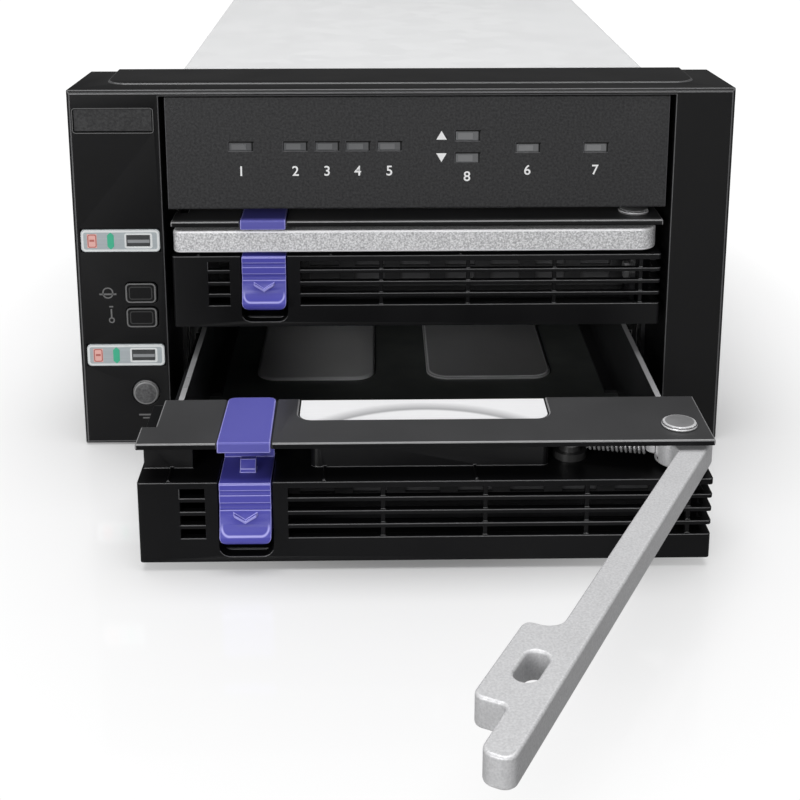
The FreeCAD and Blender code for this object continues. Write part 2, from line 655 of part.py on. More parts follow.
def make_indicator_lenses():
    front = FRONT + PANEL_SET_BACK
    return led_windows(-LED_FIT, front + LED_SUNK, front + PANEL_WALL + LED_DEPTH)


# ---- sheet metal cage -----------------------------------------------------------------
def bracket_screw_places():
    (front_y, front_z), (from_end, rear_z) = BRACKET_SCREWS
    return [(front_y, front_z), (BRACKET_LENGTH - from_end, rear_z)]


def make_chassis_shell():
    parts = [box(-SHELL_HALF, SHELL_HALF, SHELL_FRONT, CAGE_LENGTH, CAGE_HEIGHT - SHELL_SHEET, CAGE_HEIGHT)]
    for side in (-1, 1):
        wall = sorted((side * BAY_HALF, side * SHELL_HALF))
        foot = sorted((side * (SHELL_HALF - FOOT_FLANGE), side * SHELL_HALF))
        parts.append(box(wall[0], wall[1], SHELL_FRONT, CAGE_LENGTH, FLOOR_SHEET, CAGE_HEIGHT))
        parts.append(box(foot[0], foot[1], SHELL_FRONT + FOOT_SET_BACK, CAGE_LENGTH - FOOT_SET_BACK,
                         FLOOR_SHEET, 2 * FLOOR_SHEET))
    shell = fuse(parts)
    shell = rounded(shell, SHELL_BEND, (0, 1, 0),
                    lambda c: c.z > CAGE_HEIGHT - NEAR and abs(c.x) > SHELL_HALF - NEAR)
    length, height = SIDE_VENT
    pitch_y = REAR_INNER / (SIDE_VENT_COUNT + 1)
    pitch_z = (CAGE_HEIGHT - DECK_TOP) / (SIDE_VENT_ROWS + 1)
    holes = []
    for side in (-1, 1):
        x0, x1 = sorted((side * (BAY_HALF - THROUGH), side * (SHELL_HALF + THROUGH)))
        for row in range(SIDE_VENT_ROWS):
            for step in range(SIDE_VENT_COUNT):
                y = pitch_y * (step + 1)
                z = DECK_TOP + pitch_z * (row + 1)
                holes.append(box(x0, x1, y - length / 2, y + length / 2, z - height / 2, z + height / 2))
        for y, z in bracket_screw_places():
            holes.append(rod((x0, y, z), TAPPED_RADIUS, x1 - x0, (1, 0, 0)))
    return cut(shell, holes)


def make_chassis_floor():
    plate = box(-SHELL_HALF, SHELL_HALF, SHELL_FRONT, CAGE_LENGTH, 0, FLOOR_SHEET)
    length, width = FLOOR_VENT
    vents = []
    for step in range(FLOOR_VENT_COUNT):
        y = DRIVE_REAR - FLOOR_VENT_PITCH * step
        vents.append(obround((0, y, -THROUGH), length, width, FLOOR_SHEET + 2 * THROUGH))
    return cut(plate, vents)


def pad_between(x0, x1):
    """A thin raised pad with sloping sides and rounded corners."""
    y1 = DRIVE_REAR - FLOOR_VENT_PITCH * FLOOR_VENT_COUNT
    base = box(x0, x1, PAD_START, y1, FLOOR_SHEET, FLOOR_SHEET + PAD_HEIGHT)
    base = rounded(base, PAD_CORNER, (0, 0, 1))
    top = [e for e in base.Edges if abs(e.CenterOfMass.z - FLOOR_SHEET - PAD_HEIGHT) < NEAR]
    return base.makeChamfer(PAD_SLOPE, top)


def folded_plate(z, sheet, lip, y1):
    """A plate between the side walls with a lip folded up along both sides."""
    parts = [box(-BAY_HALF, BAY_HALF, SHELL_FRONT + SHELL_SHEET, y1, z, z + sheet)]
    for side in (-1, 1):
        x0, x1 = sorted((side * (BAY_HALF - sheet), side * BAY_HALF))
        parts.append(box(x0, x1, SHELL_FRONT + SHELL_SHEET + LIP_SET_BACK, y1 - LIP_SET_BACK, z, z + lip))
    return parts


def make_mid_shelf():
    return fuse(folded_plate(SHELF_Z, SHELF_SHEET, SHELF_LIP, DRIVE_REAR - LIP_SET_BACK))


def standoff_places():
    from_middle, from_front, from_rear = STANDOFF_PLACES
    rows = (SHELL_FRONT + from_front, REAR_INNER - from_rear)
    return [(side * from_middle, y) for side in (-1, 1) for y in rows]


def make_controller_deck():
    parts = folded_plate(DECK_Z, DECK_SHEET, DECK_LIP, REAR_INNER)
    holes = []
    for x, y in standoff_places():
        corners = []
        for k in range(6):
            turn = math.radians(60 * k)
            corners.append((x + STANDOFF_RADIUS * math.cos(turn), y + STANDOFF_RADIUS * math.sin(turn)))
        parts.append(slab(corners, STANDOFF_HEIGHT + SINK, "Z", DECK_TOP - SINK))
        holes.append(rod((x, y, DECK_Z - THROUGH), TAPPED_RADIUS, CONTROL_Z - DECK_Z + 2 * THROUGH))
    return cut(fuse(parts), holes)


def make_guide_rails():
    """Channels on the side walls that the trays' runners slide in."""
    rails = []
    inner = RAIL_OUTER + GUIDE_GAP
    floor_of_channel = RAIL_OUTER + RUNNER_WIDTH + GUIDE_GAP
    for tray_z in (LOWER_Z, UPPER_Z):
        low = tray_z + RUNNER_BOTTOM - GUIDE_GAP
        high = tray_z + RUNNER_BOTTOM + RUNNER_HEIGHT + GUIDE_GAP
        foot = low - GUIDE_LEDGE - GUIDE_UNDERCUT
        for side in (-1, 1):
            points = [(BAY_HALF, foot), (floor_of_channel, foot), (inner, low - GUIDE_LEDGE), (inner, low),
                      (floor_of_channel, low), (floor_of_channel, high), (inner, high),
                      (inner, high + GUIDE_LEDGE), (BAY_HALF, high + GUIDE_LEDGE)]
            rails.append(slab([(side * x, z) for x, z in points], DRIVE_REAR - GUIDE_START, "Y", GUIDE_START))
    return rails


# ---- side brackets ---------------------------------------------------------------
def bracket_span(side):
    """Cage wall and outer face of a bracket; the bay is centred on the bezel."""
    centre = (BEZEL_X0 + BEZEL_X1) / 2
    return SHELL_HALF * side, centre + side * BAY_WIDTH / 2


def span_box(xa, xb, y0, y1, z0, z1):
    return box(min(xa, xb), max(xa, xb), y0, y1, z0, z1)


def make_side_bracket(side):
    near, far = bracket_span(side)
    sheet = BRACKET_SHEET * side
    z0, z1 = BRACKET_FOOT, BRACKET_TOP
    lug = side * (HALF_OPENING + CHEEK + SHEET_GAP)
    parts = [span_box(near, near + sheet, BRACKET_START, BRACKET_LENGTH, z0, z1),
             span_box(far - sheet, far, 0, BRACKET_LENGTH, z0, z1),
             span_box(near, far, BRACKET_START, BRACKET_LENGTH, z1 - BRACKET_SHEET, z1),
             span_box(lug, far, 0, BRACKET_SHEET, z0, z1),
             span_box(lug, far, 0, BRACKET_START + THROUGH, z1 - BRACKET_SHEET, z1)]
    bracket = fuse(parts)
    bracket = rounded(bracket, BRACKET_BEND, (0, 1, 0), lambda c: c.z > z1 - NEAR and abs(c.x - far) < NEAR)
    depth = BRACKET_SHEET + 2 * THROUGH
    holes = []
    for y in BAY_HOLES_Y:
        for z in BAY_HOLES_Z:
            holes.append(rod((far - side * depth / 2, y, z), BAY_HOLE_RADIUS, depth, (side, 0, 0)))
    for y, z in bracket_screw_places():
        holes.append(rod((near - side * THROUGH, y, z), CLEAR_RADIUS, depth, (side, 0, 0)))
        holes.append(rod((far - side * depth / 2, y, z), ACCESS_RADIUS, depth, (side, 0, 0)))
    boss_x = BOSS_X[0] if side < 0 else BOSS_X[1]
    for z in BOSS_Z:
        holes.append(rod((boss_x, -THROUGH, z), CLEAR_RADIUS, depth, (0, 1, 0)))
    length, width = BRACKET_SLOT
    middle = (near + far) / 2
    pitch = BRACKET_LENGTH / (BRACKET_SLOTS + 1)
    for step in range(BRACKET_SLOTS):
        y = pitch * (step + 1)
        holes.append(span_box(middle - width / 2, middle + width / 2, y - length / 2, y + length / 2,
                              z1 - BRACKET_SHEET - THROUGH, z1 + THROUGH))
    return cut(bracket, holes)


def make_bracket_screws():
    screws = []
    for side in (-1, 1):
        near, far = bracket_span(side)
        for y, z in bracket_screw_places():
            screws.append(hex_screw((near + side * BRACKET_SHEET, y, z), (-side, 0, 0), HEX_HEAD, SHANK_RADIUS,
                                    BRACKET_SHEET + SHELL_SHEET + SINK))
    return screws


def make_bezel_screws():
    length = BRACKET_SHEET + BOSS_HOLE_DEPTH - SCREW_BITE
    return [hex_screw((x, BRACKET_SHEET, z), (0, -1, 0), HEX_HEAD, SHANK_RADIUS, length)
            for x in BOSS_X for z in BOSS_Z]


# ---- rear panel, fan, boards ---------------------------------------------------------
def fan_corners():
    reach = FAN_HOLE_SPACING / 2
    return [(sx * reach, FAN_Z + sz * reach) for sx in (-1, 1) for sz in (-1, 1)]


def turned(shape, angle):
    """Turned about the fan's axis."""
    piece = shape.copy()
    piece.rotate(Vec(0, 0, FAN_Z), Vec(0, 1, 0), angle)
    return piece


def make_rear_panel():
    plate = box(-BAY_HALF, BAY_HALF, REAR_INNER, CAGE_LENGTH, FLOOR_SHEET, CAGE_HEIGHT - SHELL_SHEET)
    y0 = REAR_INNER - THROUGH
    depth = REAR_SHEET + 2 * THROUGH
    holes = [rod((x, y0, z), FAN_SHANK_RADIUS + FIT, depth, (0, 1, 0)) for x, z in fan_corners()]
    for ring in GRILLE_RINGS:
        outer = rod((0, y0, FAN_Z), ring, depth, (0, 1, 0))
        inner = rod((0, y0, FAN_Z), ring - GRILLE_SLOT, depth, (0, 1, 0))
        half = GRILLE_SPOKE / 2
        spoke = box(-half, half, y0, y0 + depth, FAN_Z, FAN_Z + ring + THROUGH)
        holes.append(cut(outer, [inner] + [turned(spoke, 45 + 90 * k) for k in range(4)]))
    for x, width, height in ((HOST_PORT[0], HOST_PORT[1], HOST_PORT[2]),
                             (POWER_PORT[0], POWER_PORT[1], POWER_PORT[2]),
                             (DIP_SWITCH[0], DIP_SWITCH[1], DIP_SWITCH[2])):
        half_w, half_h = width / 2 + PORT_FIT, height / 2 + PORT_FIT
        holes.append(box(x - half_w, x + half_w, y0, y0 + depth, PORT_Z - half_h, PORT_Z + half_h))
    return cut(plate, holes)


def make_fan_frame():
    half = FAN_SIZE / 2
    block = box(-half, half, FAN_Y0, REAR_INNER, FAN_Z - half, FAN_Z + half)
    block = block.makeChamfer(FAN_CORNER, edges_along(block, (0, 1, 0)))
    y0 = FAN_Y0 - THROUGH
    depth = FAN_DEPTH + 2 * THROUGH
    bore = rod((0, y0, FAN_Z), FAN_BORE_RADIUS, depth, (0, 1, 0))
    holes = [rod((x, y0, z), FAN_HOLE_RADIUS, depth, (0, 1, 0)) for x, z in fan_corners()]
    ring = cut(block, [bore] + holes)
    width, thickness = FAN_STRUT
    hub = rod((0, REAR_INNER - thickness, FAN_Z), FAN_HUB_RADIUS, thickness, (0, 1, 0))
    strut = box(-width / 2, width / 2, REAR_INNER - thickness, REAR_INNER, FAN_Z + FAN_HUB_RADIUS - THROUGH,
                FAN_Z + FAN_BORE_RADIUS + FAN_TIP_GAP)
    struts = [turned(strut, 60 + 120 * k) for k in range(3)]
    reach = 2 * FAN_DEPTH / 3
    axle = rod((0, REAR_INNER - reach, FAN_Z), FAN_AXLE_RADIUS, reach, (0, 1, 0))
    return fuse([ring, hub, axle] + struts)


def make_fan_rotor():
    y0 = FAN_Y0 + THROUGH
    length = FAN_DEPTH - FAN_STRUT[1] - 2 * THROUGH
    hub = rod((0, y0, FAN_Z), FAN_HUB_RADIUS - FAN_TIP_GAP, length, (0, 1, 0))
    tip = FAN_BORE_RADIUS - FAN_TIP_GAP
    half = BLADE_SWEEP / 2
    root = slab([(-half, y0), (BLADE_THICKNESS - half, y0), (half, y0 + length),
                 (half - BLADE_THICKNESS, y0 + length)], tip, "Z", FAN_Z)
    blades = [turned(root, 360 / FAN_BLADES * k) for k in range(FAN_BLADES)]
    rotor = fuse([hub] + blades)
    keep = rod((0, FAN_Y0, FAN_Z), tip, FAN_DEPTH, (0, 1, 0))
    start = REAR_INNER - 2 * FAN_DEPTH / 3 - FIT
    bore = rod((0, start, FAN_Z), FAN_AXLE_RADIUS + FIT, FAN_DEPTH, (0, 1, 0))
    return rotor.common(keep).cut(bore)


def make_fan_screws():
    return [hex_screw((x, CAGE_LENGTH, z), (0, -1, 0), HEX_HEAD, FAN_SHANK_RADIUS, REAR_SHEET + 2 * SCREW_BITE)
            for x, z in fan_corners()]


def make_backplane():
    y0, y1 = BACKPLANE_Y, BACKPLANE_Y + BOARD_THICKNESS
    edge = BAY_HALF - SHELL_SHEET
    board = box(-edge, edge, y0, y1, 2 * FLOOR_SHEET, DECK_Z - SHEET_GAP)
    low, high = WINDOW_RISE
    windows = []
    for tray_z in (LOWER_Z, UPPER_Z):
        for x0, x1 in BACKPLANE_WINDOWS:
            windows.append(box(x0, x1, y0 - THROUGH, y1 + THROUGH, tray_z + low, tray_z + high))
    return cut(board, windows)


def make_drive_sockets():
    depth, height = SOCKET_MOUTH
    y0 = BACKPLANE_Y - SOCKET_DEPTH
    sockets = []
    for tray_z in (LOWER_Z, UPPER_Z):
        z = tray_z + SOCKET_RISE
        body = box(*SOCKET_SPAN, y0, BACKPLANE_Y, z - SOCKET_HEIGHT / 2, z + SOCKET_HEIGHT / 2)
        mouths = [box(x0, x1, y0 - THROUGH, y0 + depth, z - height / 2, z + height / 2)
                  for x0, x1 in SOCKET_MOUTHS]
        sockets.append(cut(body, mouths))
    return sockets


def make_controller_board():
    side, front, rear = CONTROL_MARGINS
    edge = BAY_HALF - side
    board = box(-edge, edge, SHELL_FRONT + front, REAR_INNER - rear, CONTROL_Z, CONTROL_TOP)
    holes = [rod((x, y, CONTROL_Z - THROUGH), CLEAR_RADIUS, BOARD_THICKNESS + 2 * THROUGH)
             for x, y in standoff_places()]
    return cut(board, holes)


def chip_at(x, y, length, width, height):
    return box(x - length / 2, x + length / 2, y - width / 2, y + width / 2, CONTROL_TOP, CONTROL_TOP + height)


def make_controller_parts():
    middle = (SHELL_FRONT + REAR_INNER) / 2
    front = SHELL_FRONT + CONTROL_MARGINS[1] + HEADER[1] / 2
    quarter = BAY_HALF / 2
    step = CHIP[0]
    parts = [chip_at(0, middle - step, CHIP[0], CHIP[0], CHIP[1]),
             chip_at(quarter, middle - step, SMALL_CHIP[0], SMALL_CHIP[0], SMALL_CHIP[1]),
             chip_at(-quarter, middle + step, *CRYSTAL),
             rod((quarter, middle + step, CONTROL_TOP), *BUZZER),
             rod((-quarter, middle - step, CONTROL_TOP), *CAPACITOR),
             chip_at(-HEADER[0], front, *HEADER),
             chip_at(quarter, front, *HEADER)]
    return parts


def make_controller_screws():
    return [hex_screw((x, y, CONTROL_TOP), (0, 0, -1), HEX_HEAD, SHANK_RADIUS, BOARD_THICKNESS + SCREW_BITE)
            for x, y in standoff_places()]


def make_port(port):
    x, width, height, depth, mouth = port
    half_w, half_h = width / 2, height / 2
    outer = CAGE_LENGTH + PORT_PROUD
    body = box(x - half_w, x + half_w, CAGE_LENGTH - depth, outer, CONTROL_TOP, PORT_Z + half_h)
    cavity = box(x - mouth / 2, x + mouth / 2, CAGE_LENGTH - depth + PORT_BACK, outer + THROUGH,
                 PORT_Z - PORT_MOUTH / 2, PORT_Z + PORT_MOUTH / 2)
    below = box(x - width, x + width, REAR_INNER - SINK, outer + THROUGH, CONTROL_TOP - THROUGH, PORT_Z - half_h)
    return cut(body, [cavity, below])


def make_dip_switch():
    x, width, height, depth = DIP_SWITCH
    half_w, half_h = width / 2, height / 2
    outer = CAGE_LENGTH + PORT_PROUD
    body = box(x - half_w, x + half_w, CAGE_LENGTH - depth, outer, CONTROL_TOP, PORT_Z + half_h)
    tools = [box(x - width, x + width, REAR_INNER - SINK, outer + THROUGH, CONTROL_TOP - THROUGH, PORT_Z - half_h)]
    slot_w, slot_h, slot_d = DIP_SLOT
    nubs = []
    for k in range(4):
        centre = x + DIP_PITCH * (k - 1.5)
        left, right = centre - slot_w / 2, centre + slot_w / 2
        tools.append(box(left, right, outer - slot_d, outer + THROUGH, PORT_Z - slot_h / 2, PORT_Z + slot_h / 2))
        nubs.append(box(left + FIT, right - FIT, outer - slot_d - SINK, outer, PORT_Z - slot_h / 2 + FIT, PORT_Z))
    return fuse([cut(body, tools)] + nubs)


# ---- tray pieces, in the tray's own frame --------------------------------------------
# x runs from the tray's left end, y back from its front, z up from its bottom.
def make_tray_head():
    back = HEAD_DEPTH
    past = back + THROUGH
    above = BODY_TOP + THROUGH
    body = box(0, TRAY_WIDTH, 0, back, 0, BODY_TOP)
    body = rounded(body, HEAD_CORNER, (0, 0, 1), lambda c: c.y < NEAR)
    behind = LEDGE_DEPTH - THROUGH
    pad_pocket = box(END_BLOCK[1], PAD_POCKET_END, behind, POCKET_DEPTH, LEDGE, above)
    pad_pocket = rounded(pad_pocket, PAD_POCKET_CORNER, (0, 0, 1), lambda c: c.y > LEDGE_DEPTH)
    side_pocket = box(RIGHT_POCKET_START, TRAY_WIDTH + THROUGH, behind, POCKET_DEPTH, LEDGE, above)
    side_pocket = rounded(side_pocket, RIGHT_POCKET_CORNER, (0, 0, 1),
                          lambda c: c.y > LEDGE_DEPTH and c.x < TRAY_WIDTH)
    cavities = [
        box(HEAD_SKIN, TRAY_WIDTH - HEAD_SKIN, HEAD_FRONT_WALL, past, HEAD_SKIN, UNDER_LEDGE),
        box(-THROUGH, TRAY_WIDTH + THROUGH, -THROUGH, LEDGE_DEPTH, LEDGE, above),
        pad_pocket,
        side_pocket,
        box(PAD_POCKET_END + HEAD_SKIN, RIGHT_POCKET_START - HEAD_SKIN, LEDGE_DEPTH + HEAD_SKIN, past,
            UNDER_LEDGE - SINK, above),
        box(END_BLOCK[0] + HEAD_SKIN, END_BLOCK[1] - HEAD_SKIN, LEDGE_DEPTH + HEAD_SKIN, past, LEDGE + SINK,
            BODY_TOP - HEAD_SKIN),
        box(-THROUGH, END_BLOCK[0], behind, past, LEDGE, above)]
    body = cut(body, cavities)
    body = rounded(body, BLOCK_CORNER, (0, 0, 1), lambda c: abs(c.y - LEDGE_DEPTH) < NEAR and c.z > LEDGE
                   and PAD_POCKET_END - NEAR < c.x < RIGHT_POCKET_START + NEAR)
    well = box(WELL_X0 - WELL_WALL, WELL_X1 + WELL_WALL, RIDGE[1], WELL_DEPTH + WELL_WALL, RIDGE[0], LEDGE)
    y0, y1, z0, z1 = HEAD_BOSS
    bosses = [box(HEAD_SKIN - SINK, FRAME_X0, y0, y1, z0, z1),
              box(FRAME_X1, TRAY_WIDTH - HEAD_SKIN + SINK, y0, y1, z0, z1)]
    width, height = RIDGE
    ridges = [box(x - width / 2, x + width / 2, HEAD_CORNER, LEDGE_DEPTH + SINK, LEDGE - SINK, LEDGE + height)
              for x in RIDGES_X]
    body = fuse([body, well] + bosses + ridges)
    half = WELL_WIDTH / 2
    left, right = LATCH_CENTRE - half, LATCH_CENTRE + half
    channel = box(left, right, -THROUGH, WELL_LIP + SINK, LEDGE - WELL_BOTTOM, LEDGE + THROUGH)
    channel = rounded(channel, WELL_CORNER, (0, 1, 0), lambda c: c.z < UNDER_LEDGE)
    tools = [channel, box(left, right, WELL_LIP, WELL_DEPTH, UNDER_LEDGE - SINK, LEDGE + THROUGH),
             box(WELL_X0, WELL_X1, WELL_LIP, WELL_DEPTH, HEAD_SKIN, UNDER_LEDGE)]
    right = TRAY_WIDTH + THROUGH
    for row in range(SLOT_ROWS):
        z1 = UNDER_LEDGE - SLOT_PITCH * row
        z0 = z1 - SLOT_HEIGHT
        tools.append(box(LEFT_SLOT[0], LEFT_SLOT[1], -THROUGH, HEAD_FRONT_WALL + SINK, z0, z1))
        tools.append(box(RIGHT_SLOT_START, right, -THROUGH, HEAD_FRONT_WALL + SINK, z0, z1))
        tools.append(box(TRAY_WIDTH - HEAD_SKIN - SINK, right, -THROUGH, SLOT_RETURN, z0, z1))
    y, z = FRAME_SCREW
    tools.append(rod((THROUGH, y, z), FRAME_SHANK_RADIUS, FRAME_X0, (1, 0, 0)))
    tools.append(rod((TRAY_WIDTH - THROUGH, y, z), FRAME_SHANK_RADIUS, FRAME_X0, (-1, 0, 0)))
    tools.append(rod((PIN_X, PIN_FROM_FRONT, UNDER_LEDGE - THROUGH), PIN_RADIUS + PIN_FIT,
                     LEDGE_THICKNESS + 2 * THROUGH))
    body = cut(body, tools)
    foot = UNDER_LEDGE - SLOT_PITCH * (SLOT_ROWS - 1) - SLOT_HEIGHT - DIVIDER_OVERLAP
    bars = [box(x, x + DIVIDER_WIDTH, DIVIDER_SET_BACK, HEAD_FRONT_WALL, foot, UNDER_LEDGE + DIVIDER_OVERLAP)
            for x in DIVIDERS]
    return fuse([body] + bars)


def make_tray_cover():
    step_x, step_y = COVER_STEP
    plate = slab([(0, 0), (TRAY_WIDTH, 0), (TRAY_WIDTH, HEAD_DEPTH), (step_x, HEAD_DEPTH), (step_x, step_y),
                  (0, step_y)], COVER_THICKNESS, "Z", BODY_TOP)
    past = HEAD_DEPTH + THROUGH
    below, above = BODY_TOP - THROUGH, TRAY_HEIGHT + THROUGH
    notch = box(TRAY_CENTRE - COVER_NOTCH_HALF, TRAY_CENTRE + COVER_NOTCH_HALF, HEAD_DEPTH - COVER_NOTCH_DEPTH,
                past, below, above)
    notch = rounded(notch, COVER_NOTCH_RADIUS, (0, 0, 1), lambda c: c.y < HEAD_DEPTH - THROUGH)
    plate = plate.cut(notch)
    front_top = [e for e in plate.Edges if abs(e.CenterOfMass.y) < NEAR and e.CenterOfMass.z > TRAY_HEIGHT - NEAR]
    plate = plate.makeFillet(COVER_EDGE, front_top)
    half = CAP_WIDTH / 2 + FIT / 2
    left, right = LATCH_CENTRE - half, LATCH_CENTRE + half
    seat = box(left, right, -THROUGH, past, TRAY_HEIGHT - CAP_SUNK, above)
    front_seat = box(left, right, -THROUGH, CAP_OVERHANG - BUTTON_PROUD, below, above)
    bore = rod((PIN_X, PIN_FROM_FRONT, below), PIN_RADIUS + PIN_FIT / 2, COVER_THICKNESS + 2 * THROUGH)
    return cut(plate, [seat, front_seat, bore])


def make_latch_cap():
    half = CAP_WIDTH / 2
    rear_half = half - CAP_TAPER
    seat = TRAY_HEIGHT - CAP_SUNK
    top = seat + CAP_THICKNESS
    front = -CAP_OVERHANG
    plate = slab([(LATCH_CENTRE - half, front), (LATCH_CENTRE + half, front),
                  (LATCH_CENTRE + rear_half, HEAD_DEPTH), (LATCH_CENTRE - rear_half, HEAD_DEPTH)],
                 CAP_THICKNESS, "Z", seat)
    plate = rounded(plate, CAP_CORNER, (0, 0, 1), lambda c: c.y > LEDGE_DEPTH)
    apron = box(LATCH_CENTRE - half, LATCH_CENTRE + half, front, CAP_OVERHANG - BUTTON_PROUD,
                BODY_TOP - CAP_APRON_DROP, top)
    cap = fuse([plate, apron])
    edge = [e for e in cap.Edges if abs(e.CenterOfMass.y - front) < NEAR and e.CenterOfMass.z > top - NEAR]
    return cap.makeFillet(CAP_EDGE, edge)


def make_cross_plate():
    """Bent sheet behind the head: a scooped flange in the cover's notch and a vented web."""
    y1 = HEAD_DEPTH - SHEET_GAP
    y0 = y1 - CROSS_SHEET
    reach = COVER_NOTCH_HALF - CROSS_GAP
    front = HEAD_DEPTH - COVER_NOTCH_DEPTH + CROSS_GAP
    top = BODY_TOP + CROSS_SHEET
    flange = box(TRAY_CENTRE - reach, TRAY_CENTRE + reach, front, y1, BODY_TOP, top)
    flange = rounded(flange, COVER_NOTCH_RADIUS - CROSS_GAP, (0, 0, 1), lambda c: c.y < front + NEAR)
    slope = math.radians(SCOOP_SLOPE)
    scoop = rod((TRAY_CENTRE, front, top - SCOOP_SINK + SCOOP_RADIUS), SCOOP_RADIUS, COVER_NOTCH_DEPTH,
                (0, math.cos(slope), math.sin(slope)))
    flange = flange.cut(scoop)
    neck = box(PAD_POCKET_END + HEAD_SKIN + CROSS_GAP, RIGHT_POCKET_START - HEAD_SKIN - CROSS_GAP, y0, y1,
               UNDER_LEDGE - HEAD_SKIN, top)
    inner = RAIL_INNER - SHEET_GAP
    z0 = HEAD_SKIN + RAIL_SHEET
    web = box(TRAY_CENTRE - inner, TRAY_CENTRE + inner, y0, y1, z0, UNDER_LEDGE - SHEET_GAP)
    plate = fuse([flange, neck, web])
    columns, rows = CROSS_VENT_GRID
    pitch_x, pitch_z = CROSS_VENT_PITCH
    width, height = CROSS_VENT
    vents = []
    for row in range(rows):
        for column in range(columns):
            x = TRAY_CENTRE + pitch_x * (column - (columns - 1) / 2)
            z = z0 + pitch_z * (row + CROSS_VENT_RISE)
            vents.append(box(x - width / 2, x + width / 2, y0 - THROUGH, y1 + THROUGH,
                             z - height / 2, z + height / 2))
    return cut(plate, vents)


def make_tray_frame():
    """Two side rails with runners, joined by a strap inside the head."""
    end = HEAD_DEPTH + DRIVE_GAP + DRIVE_LENGTH - RAIL_SHORT
    head_end = HEAD_DEPTH + THROUGH
    front_top = UNDER_LEDGE - SHEET_GAP
    low_cut, top_cut = RAIL_CORNERS
    profile = [(RAIL_START, HEAD_SKIN), (head_end, HEAD_SKIN), (head_end + 1, RAIL_BOTTOM),
               (end - low_cut, RAIL_BOTTOM), (end, RAIL_BOTTOM + low_cut), (end, RAIL_TOP - top_cut),
               (end - top_cut, RAIL_TOP), (head_end + top_cut, RAIL_TOP), (head_end, front_top),
               (RAIL_START, front_top)]
    strap_start = WELL_DEPTH + WELL_WALL + SHEET_GAP
    parts = [box(FRAME_X0, FRAME_X1, strap_start, HEAD_DEPTH - SHEET_GAP, HEAD_SKIN, HEAD_SKIN + RAIL_SHEET)]
    after_head, before_end = RUNNER_ENDS
    for rail_x, run_x in ((FRAME_X0, FRAME_X0 - RUNNER_WIDTH), (FRAME_X1 - RAIL_SHEET, FRAME_X1 - SINK)):
        parts.append(slab(profile, RAIL_SHEET, "X", rail_x))
        parts.append(box(run_x, run_x + RUNNER_WIDTH + SINK, HEAD_DEPTH + after_head, end - before_end,
                         RUNNER_BOTTOM, RUNNER_BOTTOM + RUNNER_HEIGHT))
    holes = []
    for from_rear in SIDE_HOLES_FROM_REAR:
        y = HEAD_DEPTH + DRIVE_GAP + DRIVE_LENGTH - from_rear
        holes.append(rod((-THROUGH, y, DRIVE_CLEAR + SIDE_HOLE_HEIGHT), SIDE_HOLE_RADIUS, TRAY_WIDTH + 2 * THROUGH,
                         (1, 0, 0)))
    y, z = FRAME_SCREW
    holes.append(rod((-THROUGH, y, z), SHANK_RADIUS, TRAY_WIDTH + 2 * THROUGH, (1, 0, 0)))
    return cut(fuse(parts), holes)


def make_frame_screws():
    y, z = FRAME_SCREW
    length = RAIL_SHEET + SCREW_BITE
    return [hex_screw((FRAME_X0 + RAIL_SHEET, y, z), (-1, 0, 0), FRAME_HEX_HEAD, FRAME_SHANK_RADIUS, length),
            hex_screw((FRAME_X1 - RAIL_SHEET, y, z), (1, 0, 0), FRAME_HEX_HEAD, FRAME_SHANK_RADIUS, length)]


def make_spring_post():
    x, y = POST_PLACE
    base = rod((x, y, LEDGE), POST_RADIUS, POST_FLANGE)
    neck = rod((x, y, LEDGE), POST_RADIUS - POST_NECK, BODY_TOP - LEDGE)
    head = rod((x, y, BODY_TOP - POST_FLANGE), POST_RADIUS, POST_FLANGE)
    return fuse([base, neck, head])


def make_hinge_pin():
    shaft = rod((PIN_X, PIN_FROM_FRONT, UNDER_LEDGE), PIN_RADIUS, TRAY_HEIGHT - UNDER_LEDGE + SINK)
    head = rod((PIN_X, PIN_FROM_FRONT, TRAY_HEIGHT), PIN_HEAD_RADIUS, PIN_HEAD_HEIGHT)
    rim = [e for e in head.Edges if e.CenterOfMass.z > TRAY_HEIGHT + PIN_HEAD_HEIGHT - NEAR]
    return fuse([shaft, head.makeChamfer(PIN_HEAD_BEVEL, rim)])


def nose_place(angle):
    turn = math.radians(NOSE_ANGLE + angle)
    return PIN_X + NOSE_ARM * math.cos(turn), PIN_FROM_FRONT + NOSE_ARM * math.sin(turn)


